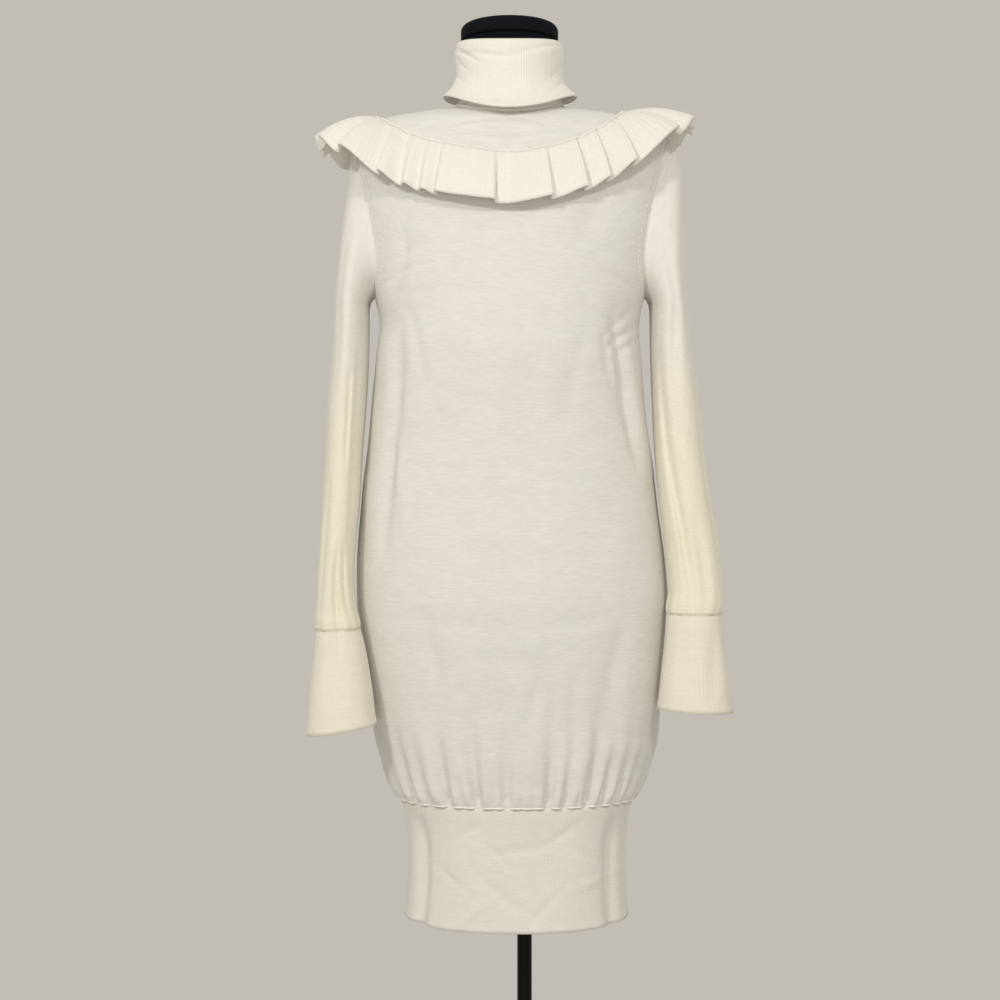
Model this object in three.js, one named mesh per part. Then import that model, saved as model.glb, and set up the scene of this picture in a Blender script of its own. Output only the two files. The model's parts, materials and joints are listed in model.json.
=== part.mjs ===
// Sweater dress on a limbless dress form: a knitted body gathered into a ribbed hem band,
// a folded collar, a pleated ruffle round the yoke, long sleeves and flared ribbed cuffs.
// Millimetres, +Z up, the front faces -Y, origin under the middle of the base plate.
import * as THREE from 'three';

const TAU = 2 * Math.PI;
const QUARTER = Math.PI / 2;

// Cloth
const KNIT_WALL = 1.8;
const RIB_WALL = 2.0;
const RUFFLE_WALL = 1.6;
const SEAM_GAP = 0.3;
const ROUNDNESS = 0.88; // power on the sine and cosine of every body section, 1 is an ellipse

// Levels
const HEM_SEAM_Z = 646;
const CHEST_Z = 1192;
const FORM_BOTTOM_Z = 770;
const NECK_TOP_Z = 1473;
const CAP_TOP_Z = 1490;

// Body of the dress from the hem seam to the underarm; depths are from y = 0
const BODY_SECTIONS = [
  { z: 646, half: 129.5, front: 93, back: 88, middle: -8.8 },
  { z: 660, half: 138.5, front: 100, back: 95, middle: -8.8 },
  { z: 673, half: 145, front: 104, back: 99, middle: -8.8 },
  { z: 690, half: 149.8, front: 107, back: 102, middle: -8.8 },
  { z: 706, half: 154.5, front: 109, back: 105, middle: -8.8 },
  { z: 745, half: 159.5, front: 111, back: 110, middle: -10.5 },
  { z: 800, half: 166, front: 113, back: 115, middle: -12.2 },
  { z: 871, half: 170.5, front: 113, back: 118, middle: -13.8 },
  { z: 970, half: 162, front: 107, back: 103, middle: -17 },
  { z: 1025, half: 155, front: 105, back: 93, middle: -17.6 },
  { z: 1080, half: 149, front: 107, back: 87, middle: -18 },
  { z: 1130, half: 145, front: 111, back: 86, middle: -17.5 },
  { z: 1165, half: 143.5, front: 111, back: 87, middle: -16.5 },
  { z: 1192, half: 148, front: 108, back: 88, middle: -16.5 },
];

// Rings that the cloth bends over between the chest and the neckline
const CLOTH_YOKE = {
  chest: { half: 148, front: 108, back: 88, frontZ: 1192, sideZ: 1192, backZ: 1192 },
  shoulder: { half: 189, front: 98, back: 84, frontZ: 1367, sideZ: 1384, backZ: 1391 },
  neckline: { half: 59, front: 62, back: 48, frontZ: 1385, sideZ: 1399, backZ: 1410 },
};
const FORM_YOKE = {
  chest: { half: 140, front: 101, back: 81, frontZ: 1192, sideZ: 1192, backZ: 1192 },
  shoulder: { half: 184, front: 92, back: 78, frontZ: 1361, sideZ: 1379, backZ: 1385 },
  neckline: { half: 48.8, front: 52.8, back: 44.8, frontZ: 1378, sideZ: 1393, backZ: 1404 },
};
const NECK_MIDDLE = -16.5;
const SHOULDER_LEVEL = 0.5; // share of the way from chest to neckline where the sleeve head sits
const SHOULDER_PULL = 3; // how much tighter the bend is over the shoulder than at the front
const ARMHOLE_STEPS = 8;
const ARMHOLE_DIP = THREE.MathUtils.degToRad(26);

// Gathers where the body meets the hem band: place from the centre front, depth, height
const FRONT_GATHERS = [
  { x: -107, depth: 4.0, reach: 70 },
  { x: -92.6, depth: 3.6, reach: 60 },
  { x: -71.5, depth: 5.0, reach: 95 },
  { x: -41, depth: 5.2, reach: 110 },
  { x: -10.6, depth: 3.8, reach: 90 },
  { x: 3, depth: 2.8, reach: 55 },
  { x: 32, depth: 4.8, reach: 105 },
  { x: 50, depth: 4.2, reach: 80 },
  { x: 73, depth: 5.2, reach: 100 },
  { x: 88, depth: 4.0, reach: 75 },
  { x: 102, depth: 3.6, reach: 65 },
  { x: 113, depth: 3.2, reach: 60 },
];
const BACK_GATHER_COUNT = 11;
const GATHER_WIDTH = 5.5;

// Long soft folds: place from the centre at the lower and upper end, with their heights
const FRONT_FOLDS = [
  { lowX: -134, lowZ: 900, highX: -117, highZ: 1165, width: 10, depth: 5.5 },
  { lowX: 141, lowZ: 1010, highX: 108, highZ: 1165, width: 10, depth: 6 },
  { lowX: 122, lowZ: 1060, highX: 96, highZ: 1150, width: 8, depth: 3.5 },
];
const BACK_FOLDS = [
  { lowX: -128, lowZ: 960, highX: -104, highZ: 1165, width: 11, depth: 5 },
  { lowX: 126, lowZ: 980, highX: 107, highZ: 1160, width: 11, depth: 5 },
  { lowX: -20, lowZ: 960, highX: -14, highZ: 1150, width: 16, depth: 4 },
];

// Sleeves by height: outer and inner side, middle from front to back, and depth
const LEFT_SLEEVE = {
  side: -1,
  head: { normal: -0.3, away: 0.9, length: 75 },
  bicepOut: 12,
  sections: [
    { z: 1179, outer: -208, inner: -171, y: -2, depth: 126 },
    { z: 1134, outer: -210, inner: -170.6, y: -8, depth: 118 },
    { z: 1079, outer: -214, inner: -172.5, y: -17, depth: 108 },
    { z: 1024, outer: -216, inner: -176, y: -26, depth: 98 },
    { z: 970, outer: -218.6, inner: -178.4, y: -34, depth: 90 },
    { z: 916, outer: -221, inner: -183, y: -46, depth: 80 },
    { z: 873, outer: -223, inner: -183, y: -54, depth: 73 },
    { z: 833, outer: -224, inner: -176, y: -61, depth: 66 },
    { z: 814, outer: -224, inner: -171, y: -64, depth: 68 },
    { z: 771, outer: -229, inner: -163.5, y: -68, depth: 75 },
    { z: 727, outer: -231.5, inner: -158.5, y: -71, depth: 82 },
  ],
  cuffSeamZ: 833,
  hemZ: 727,
  hemTilt: 0.16,
  folds: [
    { lowTurn: 0.12, lowZ: 830, highTurn: 0.2, highZ: 1120, width: 0.045, depth: 4 },
    { lowTurn: 0.62, lowZ: 860, highTurn: 0.55, highZ: 1080, width: 0.05, depth: 3.5 },
  ],
};
const RIGHT_SLEEVE = {
  side: 1,
  head: { normal: 0.8, away: 0.5, length: 90 },
  bicepOut: 30,
  sections: [
    { z: 1179, outer: 178.7, inner: 138, y: -2, depth: 124 },
    { z: 1134, outer: 183, inner: 138, y: -8, depth: 116 },
    { z: 1079, outer: 189.5, inner: 139, y: -17, depth: 106 },
    { z: 1024, outer: 194, inner: 141, y: -26, depth: 96 },
    { z: 970, outer: 201, inner: 145, y: -34, depth: 88 },
    { z: 916, outer: 209, inner: 150.5, y: -44, depth: 79 },
    { z: 873, outer: 212.5, inner: 153, y: -52, depth: 72 },
    { z: 849, outer: 210, inner: 151, y: -56, depth: 68 },
    { z: 820, outer: 211.5, inner: 149, y: -60, depth: 70 },
    { z: 777, outer: 217, inner: 144, y: -65, depth: 76 },
    { z: 747, outer: 219.5, inner: 141, y: -67, depth: 81 },
  ],
  cuffSeamZ: 849,
  hemZ: 747,
  hemTilt: -0.05,
  folds: [
    { lowTurn: 0.16, lowZ: 860, highTurn: 0.4, highZ: 1130, width: 0.05, depth: 5.5 },
    { lowTurn: 0.6, lowZ: 870, highTurn: 0.68, highZ: 1100, width: 0.05, depth: 4 },
  ],
};
const SLEEVE_STEPS = 2 * ARMHOLE_STEPS;

// Ruffle: a strip that stands off the yoke on a line level with the neckline
const YOKE_DEPTH = { front: 58, left: 90, right: 68, back: 60 };
const RUFFLE_OUT = { front: 24, left: 62, right: 76 };
const RUFFLE_DROP = { front: 57, left: 30, right: 13 };
const RUFFLE_ARCH = { front: 3, left: 8, right: 7 };
const RUFFLE_TURN = { left: [50, 80], right: [54, 82] };
const RUFFLE_PUSH = { left: 14, right: 26, middle: 60, width: 15 }; // out of the shoulder's way
const RUFFLE_LIFT = 2.5;
const PLEAT_AT_SEAM = 0.16;
// Pleats: where each starts in degrees, the share of it that rises, and its height
const PLEATS = [
  [-107, 0.62, 7.5], [-96, 0.62, 7.5], [-86, 0.84, 7.5], [-78, 0.84, 7], [-70, 0.8, 6.5],
  [-55.9, 0.8, 5.5], [-45.3, 0.62, 4.5], [-36.5, 0.62, 4], [-28, 0.88, 4.5], [-3.4, 0.88, 4.6],
  [14.3, 0.88, 5], [28.9, 0.86, 5.4], [41, 0.86, 6], [57, 0.86, 6.5], [72.8, 0.7, 6],
  [82, 0.62, 7], [92, 0.62, 7],
];
const CENTRE_PLEAT = 8;
const BACK_PLEATS = { first: 104, last: 253, count: 13, crest: 0.66, depth: 6.4 };

// Collar: wall middle round the neck, from the neckline up, over the fold and down
const COLLAR_STEPS = 24;
const COLLAR_INNER_HALF = 52.05;
const COLLAR_FOLD = { frontZ: 1459, sideZ: 1466, backZ: 1468, radius: 3 };
const COLLAR_EDGE = { frontZ: 1385, sideZ: 1411, backZ: 1416 };
const COLLAR_FALL = [
  { share: 0.0, half: 58.0 },
  { share: 0.12, half: 59.2 },
  { share: 0.36, half: 57.9 },
  { share: 0.58, half: 57.8 },
  { share: 0.72, half: 60.2 },
  { share: 0.86, half: 65.0 },
  { share: 1.0, half: 73.0 },
];
const NECK_RADIUS = 50.6;
const NECK_Y = -4;

// Hem band
const BAND_SECTIONS = [
  { z: 645.7, half: 128.5, front: 92.5, back: 87.5, middle: -8.8 },
  { z: 629, half: 123, front: 89.5, back: 85, middle: -8.6 },
  { z: 611, half: 120, front: 88, back: 84, middle: -8.4 },
  { z: 580, half: 119, front: 88, back: 84, middle: -8.2 },
  { z: 552, half: 119.5, front: 89, back: 85, middle: -8.4 },
  { z: 519, half: 122.5, front: 91, back: 87, middle: -9 },
];
const BAND_GROOVES = [
  { turn: THREE.MathUtils.degToRad(-57), depth: 6.5 },
  { turn: THREE.MathUtils.degToRad(55), depth: 6 },
  { turn: THREE.MathUtils.degToRad(-126), depth: 5 },
  { turn: THREE.MathUtils.degToRad(122), depth: 5.5 },
];
const BAND_GROOVE_WIDTH = THREE.MathUtils.degToRad(7);
const HEM_DIP = 5; // how much lower the hem hangs at the centre front than at the sides

// Dress form, pole and base plate
const FORM_SECTIONS = [
  { z: 770, half: 150, front: 98, back: 103, middle: -11 },
  { z: 800, half: 157, front: 103, back: 108, middle: -12 },
  { z: 871, half: 162, front: 105, back: 110, middle: -13.8 },
  { z: 930, half: 154, front: 98, back: 100, middle: -15.5 },
  { z: 1000, half: 132, front: 88, back: 84, middle: -17 },
  { z: 1060, half: 121, front: 86, back: 75, middle: -17.5 },
  { z: 1120, half: 129, front: 97, back: 77, middle: -17 },
  { z: 1192, half: 140, front: 101, back: 81, middle: -16.5 },
];
const CAP_RADIUS = 53.4;
const POLE_RADIUS = 8;
const BASE_RADIUS = 175;
const BASE_THICKNESS = 10;

// Materials
const bodyKnit = new THREE.MeshStandardMaterial({ color: 0xdad7ce, roughness: 0.92 });
const sleeveKnit = new THREE.MeshStandardMaterial({ color: 0xeae3d0, roughness: 0.92 });
const ribbing = new THREE.MeshStandardMaterial({ color: 0xf0ebdf, roughness: 0.93 });
const formCloth = new THREE.MeshStandardMaterial({ color: 0x17171a, roughness: 0.85 });
const blackSteel = new THREE.MeshStandardMaterial({ color: 0x121214, roughness: 0.35, metalness: 0.6 });

// Value of a table column at a place, on a smooth curve through the rows
function smoothValue(rows, key, column, at) {
  const rising = rows[0][key] < rows[rows.length - 1][key];
  const ordered = rising ? rows : [...rows].reverse();
  const last = ordered.length - 1;
  const place = THREE.MathUtils.clamp(at, ordered[0][key], ordered[last][key]);
  let i = 0;
  while (i < last - 1 && place > ordered[i + 1][key]) i++;
  const slope = (a, b) => (ordered[b][column] - ordered[a][column]) / (ordered[b][key] - ordered[a][key]);
  const span = ordered[i + 1][key] - ordered[i][key];
  const startSlope = i > 0 ? slope(i - 1, i + 1) : slope(i, i + 1);
  const endSlope = i + 2 <= last ? slope(i, i + 2) : slope(i, i + 1);
  const t = (place - ordered[i][key]) / span;
  const start = ordered[i][column];
  const end = ordered[i + 1][column];
  const bend = (t ** 3 - 2 * t * t + t) * startSlope + (t ** 3 - t * t) * endSlope;
  return start + (end - start) * (3 * t * t - 2 * t ** 3) + bend * span;
}

const signedPower = (value) => Math.sign(value) * Math.abs(value) ** ROUNDNESS;

// Value that turns from front through the sides to the back
function aroundValue(angle, front, side, back) {
  const forward = Math.cos(angle);
  return side + ((forward > 0 ? front : back) - side) * forward * forward;
}

// Point of a level oval, angle 0 at the centre front and +90 degrees at +X
function ovalPoint(angle, oval) {
  const deep = Math.cos(angle) > 0 ? oval.front : oval.back;
  return new THREE.Vector3(
    oval.middle + oval.half * signedPower(Math.sin(angle)),
    -deep * signedPower(Math.cos(angle)),
    oval.z,
  );
}

function sectionPoint(rows, angle, z) {
  const read = (column) => smoothValue(rows, 'z', column, z);
  const oval = { half: read('half'), front: read('front'), back: read('back'), middle: read('middle'), z };
  return ovalPoint(angle, oval);
}

// Bend from the chest over the shoulders to the neckline, at a share of the way
function yokePoint(yoke, angle, share) {
  const ring = ({ half, front, back, frontZ, sideZ, backZ }) => {
    const z = aroundValue(angle, frontZ, sideZ, backZ);
    return ovalPoint(angle, { half, front, back, middle: NECK_MIDDLE, z });
  };
  const pull = 1 + SHOULDER_PULL * Math.abs(Math.sin(angle)) ** 6;
  const weights = [(1 - share) ** 2, 2 * share * (1 - share) * pull, share ** 2];
  const total = weights[0] + weights[1] + weights[2];
  return ring(yoke.chest).multiplyScalar(weights[0] / total)
    .addScaledVector(ring(yoke.shoulder), weights[1] / total)
    .addScaledVector(ring(yoke.neckline), weights[2] / total);
}

// Level -1 is the hem seam, 0 the chest and 1 the neckline
function bodyPoint(angle, level) {
  if (level >= 0) return yokePoint(CLOTH_YOKE, angle, level);
  return sectionPoint(BODY_SECTIONS, angle, CHEST_Z + level * (CHEST_Z - HEM_SEAM_Z));
}

const levelOfHeight = (z) => (z - CHEST_Z) / (CHEST_Z - HEM_SEAM_Z);

// Level of the armhole's edge at a share of its height
function armholeLevel(share) {
  const low = bodyPoint(QUARTER, 0).z;
  const high = bodyPoint(QUARTER, SHOULDER_LEVEL).z;
  const wanted = low + (high - low) * share;
  let [from, to] = [0, SHOULDER_LEVEL];
  for (let i = 0; i < 30; i++) {
    const middle = (from + to) / 2;
    if (bodyPoint(QUARTER, middle).z < wanted) from = middle;
    else to = middle;
  }
  return share <= 0 ? 0 : (from + to) / 2;
}

// Armhole at a share of a turn: 0 at the shoulder, 0.25 front, 0.5 underarm, 0.75 back
function armholePlace(turn) {
  const level = armholeLevel((1 + Math.cos(TAU * turn)) / 2);
  const across = Math.sin(TAU * turn);
  return { level, angle: QUARTER - ARMHOLE_DIP * Math.sign(across) * Math.abs(across) ** 0.8 };
}

// Outward direction of a surface of two values, from small steps on it
function surfaceNormal(surface, u, v, step = 1e-3) {
  const along = surface(u + step, v).sub(surface(u - step, v));
  const up = surface(u, v + step).sub(surface(u, v - step));
  return along.cross(up).normalize();
}

// Closed wall from two grids of points, the outer one and the inner one
function wallGeometry(outer, inner, closed) {
  const rows = outer.length;
  const columns = outer[0].length;
  const points = [...outer.flat(), ...inner.flat()];
  const at = (layer, r, c) => layer * rows * columns + r * columns + (c % columns);
  const faces = [];
  const quad = (a, b, c, d) => faces.push(a, b, c, a, c, d);
  const steps = closed ? columns : columns - 1;
  for (let r = 0; r < rows - 1; r++) {
    for (let c = 0; c < steps; c++) {
      quad(at(0, r, c), at(0, r, c + 1), at(0, r + 1, c + 1), at(0, r + 1, c));
      quad(at(1, r, c), at(1, r + 1, c), at(1, r + 1, c + 1), at(1, r, c + 1));
    }
  }
  for (let c = 0; c < steps; c++) {
    quad(at(0, 0, c), at(1, 0, c), at(1, 0, c + 1), at(0, 0, c + 1));
    quad(at(0, rows - 1, c), at(0, rows - 1, c + 1), at(1, rows - 1, c + 1), at(1, rows - 1, c));
  }
  if (!closed) {
    for (let r = 0; r < rows - 1; r++) {
      const c = columns - 1;
      quad(at(0, r, 0), at(0, r + 1, 0), at(1, r + 1, 0), at(1, r, 0));
      quad(at(0, r, c), at(1, r, c), at(1, r + 1, c), at(0, r + 1, c));
    }
  }
  return solidGeometry(points, faces);
}

// Geometry from points and faces, turned so that its faces point out
function solidGeometry(points, faces) {
  let volume = 0;
  for (let i = 0; i < faces.length; i += 3) {
    const [a, b, c] = [points[faces[i]], points[faces[i + 1]], points[faces[i + 2]]];
    volume += a.dot(new THREE.Vector3().crossVectors(b, c));
  }
  const turned = [...faces];
  if (volume < 0) {
    for (let i = 0; i < turned.length; i += 3) [turned[i], turned[i + 1]] = [turned[i + 1], turned[i]];
  }
  const geometry = new THREE.BufferGeometry().setFromPoints(points);
  geometry.setIndex(turned);
  geometry.computeVertexNormals();
  return geometry;
}

// Wall on a surface: out and in are how far each face lies from it
function wallOnSurface(surface, places, { out = 0, inward, closed = false, normalFrom = surface }) {
  const shift = (amount) => places.map((row) => row.map(([u, v]) => (
    surface(u, v).addScaledVector(surfaceNormal(normalFrom, u, v), amount))));
  return wallGeometry(shift(out), shift(-inward), closed);
}

// Solid through level rings, closed flat at both ends
function loftGeometry(rings) {
  const columns = rings[0].length;
  const points = rings.flat();
  const faces = [];
  for (let r = 0; r < rings.length - 1; r++) {
    for (let c = 0; c < columns; c++) {
      const [a, b] = [r * columns + c, r * columns + ((c + 1) % columns)];
      faces.push(a, b, b + columns, a, b + columns, a + columns);
    }
  }
  const top = (rings.length - 1) * columns;
  for (let c = 1; c < columns - 1; c++) {
    faces.push(0, c + 1, c);
    faces.push(top, top + c, top + c + 1);
  }
  return solidGeometry(points, faces);
}

// Places from the centre front turned into angles on the hem seam's oval
function hemAngle(x) {
  const { half } = BODY_SECTIONS[0];
  return Math.sign(x) * Math.asin(Math.min(1, (Math.abs(x) / half) ** (1 / ROUNDNESS)));
}

function backGathers() {
  const rows = [];
  for (let i = 0; i < BACK_GATHER_COUNT; i++) {
    const share = (i + 1) / (BACK_GATHER_COUNT + 1);
    const sway = 0.055 * Math.sin(5 * i + 1);
    rows.push({
      angle: THREE.MathUtils.lerp(QUARTER, 3 * QUARTER, share + sway * 0.5),
      depth: 4.2 + 1.1 * Math.sin(3 * i + 0.5),
      reach: 82 + 22 * Math.sin(2 * i + 2),
    });
  }
  return rows;
}

// Depth of the gathers at an angle and a height over the hem seam
function gatherDepth(gathers, angle, height) {
  const { half } = BODY_SECTIONS[0];
  let depth = 0;
  for (const gather of gathers) {
    const away = (angle - gather.angle) * half / GATHER_WIDTH;
    const rise = 0.5 + 0.5 * THREE.MathUtils.smoothstep(height, 0, 14);
    const fade = Math.exp(-((height / gather.reach) ** 1.4) * 2.2);
    depth += gather.depth * rise * fade * Math.exp(-away * away);
  }
  return depth;
}

function foldDepth(folds, offset, z) {
  let depth = 0;
  for (const fold of folds) {
    const share = (z - fold.lowZ) / (fold.highZ - fold.lowZ);
    const ends = Math.sin(Math.PI * THREE.MathUtils.clamp(share, 0, 1)) ** 0.7;
    const middle = fold.lowX + (fold.highX - fold.lowX) * share;
    depth += fold.depth * ends * Math.exp(-(((offset - middle) / fold.width) ** 2));
  }
  return depth;
}

// Panel surface with its gathers and folds pressed in from the smooth body
function panelPoint(angle, level, gathers, folds) {
  const point = bodyPoint(angle, level);
  const offset = point.x - smoothValue(BODY_SECTIONS, 'z', 'middle', point.z);
  const height = point.z - HEM_SEAM_Z;
  const depth = gatherDepth(gathers, angle, height) + foldDepth(folds, offset, point.z);
  const outward = new THREE.Vector3(Math.sin(angle), -Math.cos(angle), 0);
  return point.addScaledVector(outward, -depth);
}

// Angles of a panel's columns: one in each gather and more where they lie far apart
function columnShares(gathers, middle, pitch) {
  const marks = [-QUARTER, ...gathers.map((gather) => gather.angle - middle), QUARTER];
  marks.sort((a, b) => a - b);
  const shares = [];
  for (let i = 0; i < marks.length - 1; i++) {
    const parts = Math.max(1, Math.round((marks[i + 1] - marks[i]) / pitch));
    for (let p = 0; p < parts; p++) shares.push((marks[i] + (marks[i + 1] - marks[i]) * p / parts) / QUARTER);
  }
  return [...shares, 1];
}

// Half the angle that a panel covers, less the gap at its seam
function panelReach(level) {
  const deep = level >= 0 ? yokePoint(CLOTH_YOKE, 0, level).y : bodyPoint(0, level).y;
  const gapAngle = Math.asin((0.7 * SEAM_GAP / Math.abs(deep)) ** (1 / ROUNDNESS));
  return QUARTER - gapAngle;
}

function panelRows() {
  const heights = [0, 7, 17, 30, 47, 68, 99, 150, 205, 260, 320, 375, 425, 475, 515];
  const rows = heights.map((height) => {
    const level = levelOfHeight(HEM_SEAM_Z + height);
    return { level, reach: panelReach(level) };
  });
  for (let i = 0; i <= ARMHOLE_STEPS; i++) {
    const { level, angle } = armholePlace(0.5 - i / (2 * ARMHOLE_STEPS));
    rows.push({ level, reach: Math.min(angle, panelReach(level)) });
  }
  for (const share of [0.2, 0.42, 0.66, 1]) {
    const level = THREE.MathUtils.lerp(SHOULDER_LEVEL, 1, share);
    rows.push({ level, reach: panelReach(level) });
  }
  return rows;
}

function panelGeometry(gathers, folds, middle, pitch) {
  const shares = columnShares(gathers, middle, pitch);
  const places = panelRows().map(({ level, reach }) => shares.map((share) => [middle + share * reach, level]));
  const surface = (angle, level) => panelPoint(angle, level, gathers, folds);
  return wallOnSurface(surface, places, { inward: KNIT_WALL, normalFrom: bodyPoint });
}

function frontPanel() {
  const gathers = FRONT_GATHERS.map((gather) => ({ ...gather, angle: hemAngle(gather.x) }));
  return panelGeometry(gathers, FRONT_FOLDS, 0, 0.12);
}

function backPanel() {
  return panelGeometry(backGathers(), BACK_FOLDS, 2 * QUARTER, 0.17);
}

// Level oval of a sleeve, turn 0 outside, 0.25 front, 0.5 inside, 0.75 back
function sleeveOval(sleeve, turn, z) {
  const read = (column) => smoothValue(sleeve.sections, 'z', column, z);
  const [outer, inner] = [read('outer'), read('inner')];
  const along = signedPower(Math.cos(TAU * turn));
  const across = signedPower(Math.sin(TAU * turn));
  let pressed = 0;
  for (const fold of sleeve.folds) {
    const share = (z - fold.lowZ) / (fold.highZ - fold.lowZ);
    const ends = Math.sin(Math.PI * THREE.MathUtils.clamp(share, 0, 1)) ** 0.7;
    const middle = fold.lowTurn + (fold.highTurn - fold.lowTurn) * share;
    pressed += fold.depth * ends * Math.exp(-(((turn - middle) / fold.width) ** 2));
  }
  const x = (outer + inner) / 2 + along * (outer - inner) / 2;
  const y = read('y') - across * (read('depth') / 2 - pressed);
  return new THREE.Vector3(x, y, z);
}

// Sleeve surface: way 0 to 1 from the armhole to the upper arm, 1 to 2 down to the hem
function sleevePoint(sleeve, turn, way) {
  const whole = ((turn % 1) + 1) % 1;
  const bicepZ = sleeve.sections[0].z;
  if (way > 1) return sleeveOval(sleeve, whole, bicepZ - (way - 1) * (bicepZ - sleeve.hemZ));
  const edge = (at) => {
    const place = armholePlace(at);
    return bodyPoint(sleeve.side * place.angle, place.level);
  };
  const { level, angle } = armholePlace(whole);
  const start = edge(whole);
  const end = sleeveOval(sleeve, whole, bicepZ);
  const upper = (1 + Math.cos(TAU * whole)) / 2;
  const low = THREE.MathUtils.smoothstep(upper, 0, 0.5);
  const head = THREE.MathUtils.smoothstep(upper, 0.5, 1);
  const blend = (under, front, top) => under + (front - under) * low + (top - front) * head;
  const normal = surfaceNormal(bodyPoint, sleeve.side * angle, level);
  const along = edge(whole + 0.004).sub(edge(whole - 0.004)).normalize();
  const away = new THREE.Vector3().crossVectors(normal, along).multiplyScalar(sleeve.side);
  const leave = new THREE.Vector3(0, 0, blend(-0.3, 0, 0))
    .addScaledVector(normal, blend(1, 0.75, sleeve.head.normal))
    .addScaledVector(away, blend(0, 0.5, sleeve.head.away))
    .multiplyScalar(blend(14, 42, sleeve.head.length));
  const arrive = new THREE.Vector3(sleeve.side * sleeve.bicepOut * upper, 0, -16 - 190 * upper);
  start.addScaledVector(leave.clone().normalize(), SEAM_GAP + blend(1, 0.2, 0.1));
  const t = Math.max(way, 0);
  return start.multiplyScalar(2 * t ** 3 - 3 * t * t + 1)
    .addScaledVector(leave, t ** 3 - 2 * t * t + t)
    .addScaledVector(end, 3 * t * t - 2 * t ** 3)
    .addScaledVector(arrive, t ** 3 - t * t);
}

function sleeveWall(sleeve, ways, wall, tilt) {
  const surface = (turn, way) => {
    const point = sleevePoint(sleeve, turn, way);
    const low = Math.max(0, way - 1) ** 6;
    const middle = (sleeve.sections.at(-1).outer + sleeve.sections.at(-1).inner) / 2;
    point.z += tilt * low * (point.x - middle);
    return point;
  };
  const places = ways.map((way) => (
    Array.from({ length: SLEEVE_STEPS }, (_, i) => [-sleeve.side * i / SLEEVE_STEPS, way])));
  return wallOnSurface(surface, places, { out: 0, inward: wall, closed: true });
}

const wayOfHeight = (sleeve, z) => {
  const bicepZ = sleeve.sections[0].z;
  return 1 + (bicepZ - z) / (bicepZ - sleeve.hemZ);
};

function sleeveGeometry(sleeve) {
  const lower = [1140, 1090, 1035, 980, 925, 880, sleeve.cuffSeamZ + 2 * SEAM_GAP];
  const ways = [0.004, 0.1, 0.22, 0.36, 0.52, 0.68, 0.84, 1, ...lower.map((z) => wayOfHeight(sleeve, z))];
  return sleeveWall(sleeve, ways, KNIT_WALL, 0);
}

function cuffGeometry(sleeve) {
  const heights = [1, 0.8, 0.55, 0.28, 0];
  const ways = heights.map((share) => (
    wayOfHeight(sleeve, THREE.MathUtils.lerp(sleeve.hemZ, sleeve.cuffSeamZ - SEAM_GAP, share))));
  return sleeveWall(sleeve, ways, RIB_WALL, sleeve.hemTilt);
}

// Level of the ruffle's seam: the yoke depth below the neckline, measured on the cloth
function yokeLineLevel(angle) {
  const side = Math.sin(angle) > 0 ? YOKE_DEPTH.right : YOKE_DEPTH.left;
  const wanted = aroundValue(angle, YOKE_DEPTH.front, side, YOKE_DEPTH.back);
  const steps = 40;
  let length = 0;
  let last = bodyPoint(angle, 1);
  for (let i = 1; i <= steps; i++) {
    const level = 1 - 0.9 * i / steps;
    const next = bodyPoint(angle, level);
    const stretch = next.distanceTo(last);
    if (length + stretch >= wanted) return level + (0.9 / steps) * (1 - (wanted - length) / stretch);
    length += stretch;
    last = next;
  }
  return 0.1;
}

// Every pleat round the ruffle, those of the back a little uneven
function pleatRows() {
  const rows = PLEATS.map(([degrees, crest, depth]) => ({ degrees, crest, depth }));
  const pitch = (BACK_PLEATS.last - BACK_PLEATS.first) / BACK_PLEATS.count;
  for (let i = 0; i < BACK_PLEATS.count; i++) {
    rows.push({
      degrees: BACK_PLEATS.first + pitch * i + 1.3 * Math.sin(5.1 * i),
      crest: BACK_PLEATS.crest + 0.1 * Math.sin(2.3 * i),
      depth: BACK_PLEATS.depth + 0.6 * Math.sin(1.7 * i),
    });
  }
  return rows.map((row, i) => {
    const next = i + 1 < rows.length ? rows[i + 1].degrees : rows[0].degrees + 360;
    const rightSide = row.degrees > -12 && row.degrees < 180;
    return { ...row, span: next - row.degrees, rightSide, centre: i === CENTRE_PLEAT };
  });
}

// Columns of one pleat: the angle and the pleat's height there, from -1 to 1
function pleatColumns(pleat) {
  const { crest } = pleat;
  if (pleat.centre) {
    return [0, 0.06, 0.12, 0.42, 0.88, 0.94].map((share) => ({
      share,
      swing: 2 * THREE.MathUtils.smoothstep(Math.min(share, 1 - share), 0, 0.12) - 1,
    }));
  }
  const places = [0, 0.3 * crest, 0.6 * crest, 0.85 * crest, crest, (1 + crest) / 2];
  const columns = places.map((share) => {
    const warped = share < crest ? 0.5 * share / crest : 0.5 + 0.5 * (share - crest) / (1 - crest);
    return { share, swing: -Math.cos(TAU * warped) };
  });
  if (pleat.rightSide) return columns;
  const turned = columns.slice(1).reverse().map(({ share, swing }) => ({ share: 1 - share, swing }));
  return [columns[0], ...turned];
}

// Degrees from the middle of the front or of the back, whichever is nearer
function degreesAway(angle) {
  return THREE.MathUtils.radToDeg(Math.acos(Math.min(1, Math.abs(Math.cos(angle)))));
}

// Value that turns from the front's to the side's where the strip leaves the shoulder
function flaredValue(angle, values) {
  const side = Math.sin(angle) > 0 ? 'right' : 'left';
  const share = THREE.MathUtils.smoothstep(degreesAway(angle), ...RUFFLE_TURN[side]);
  return THREE.MathUtils.lerp(values.front, values[side], share);
}

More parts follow.
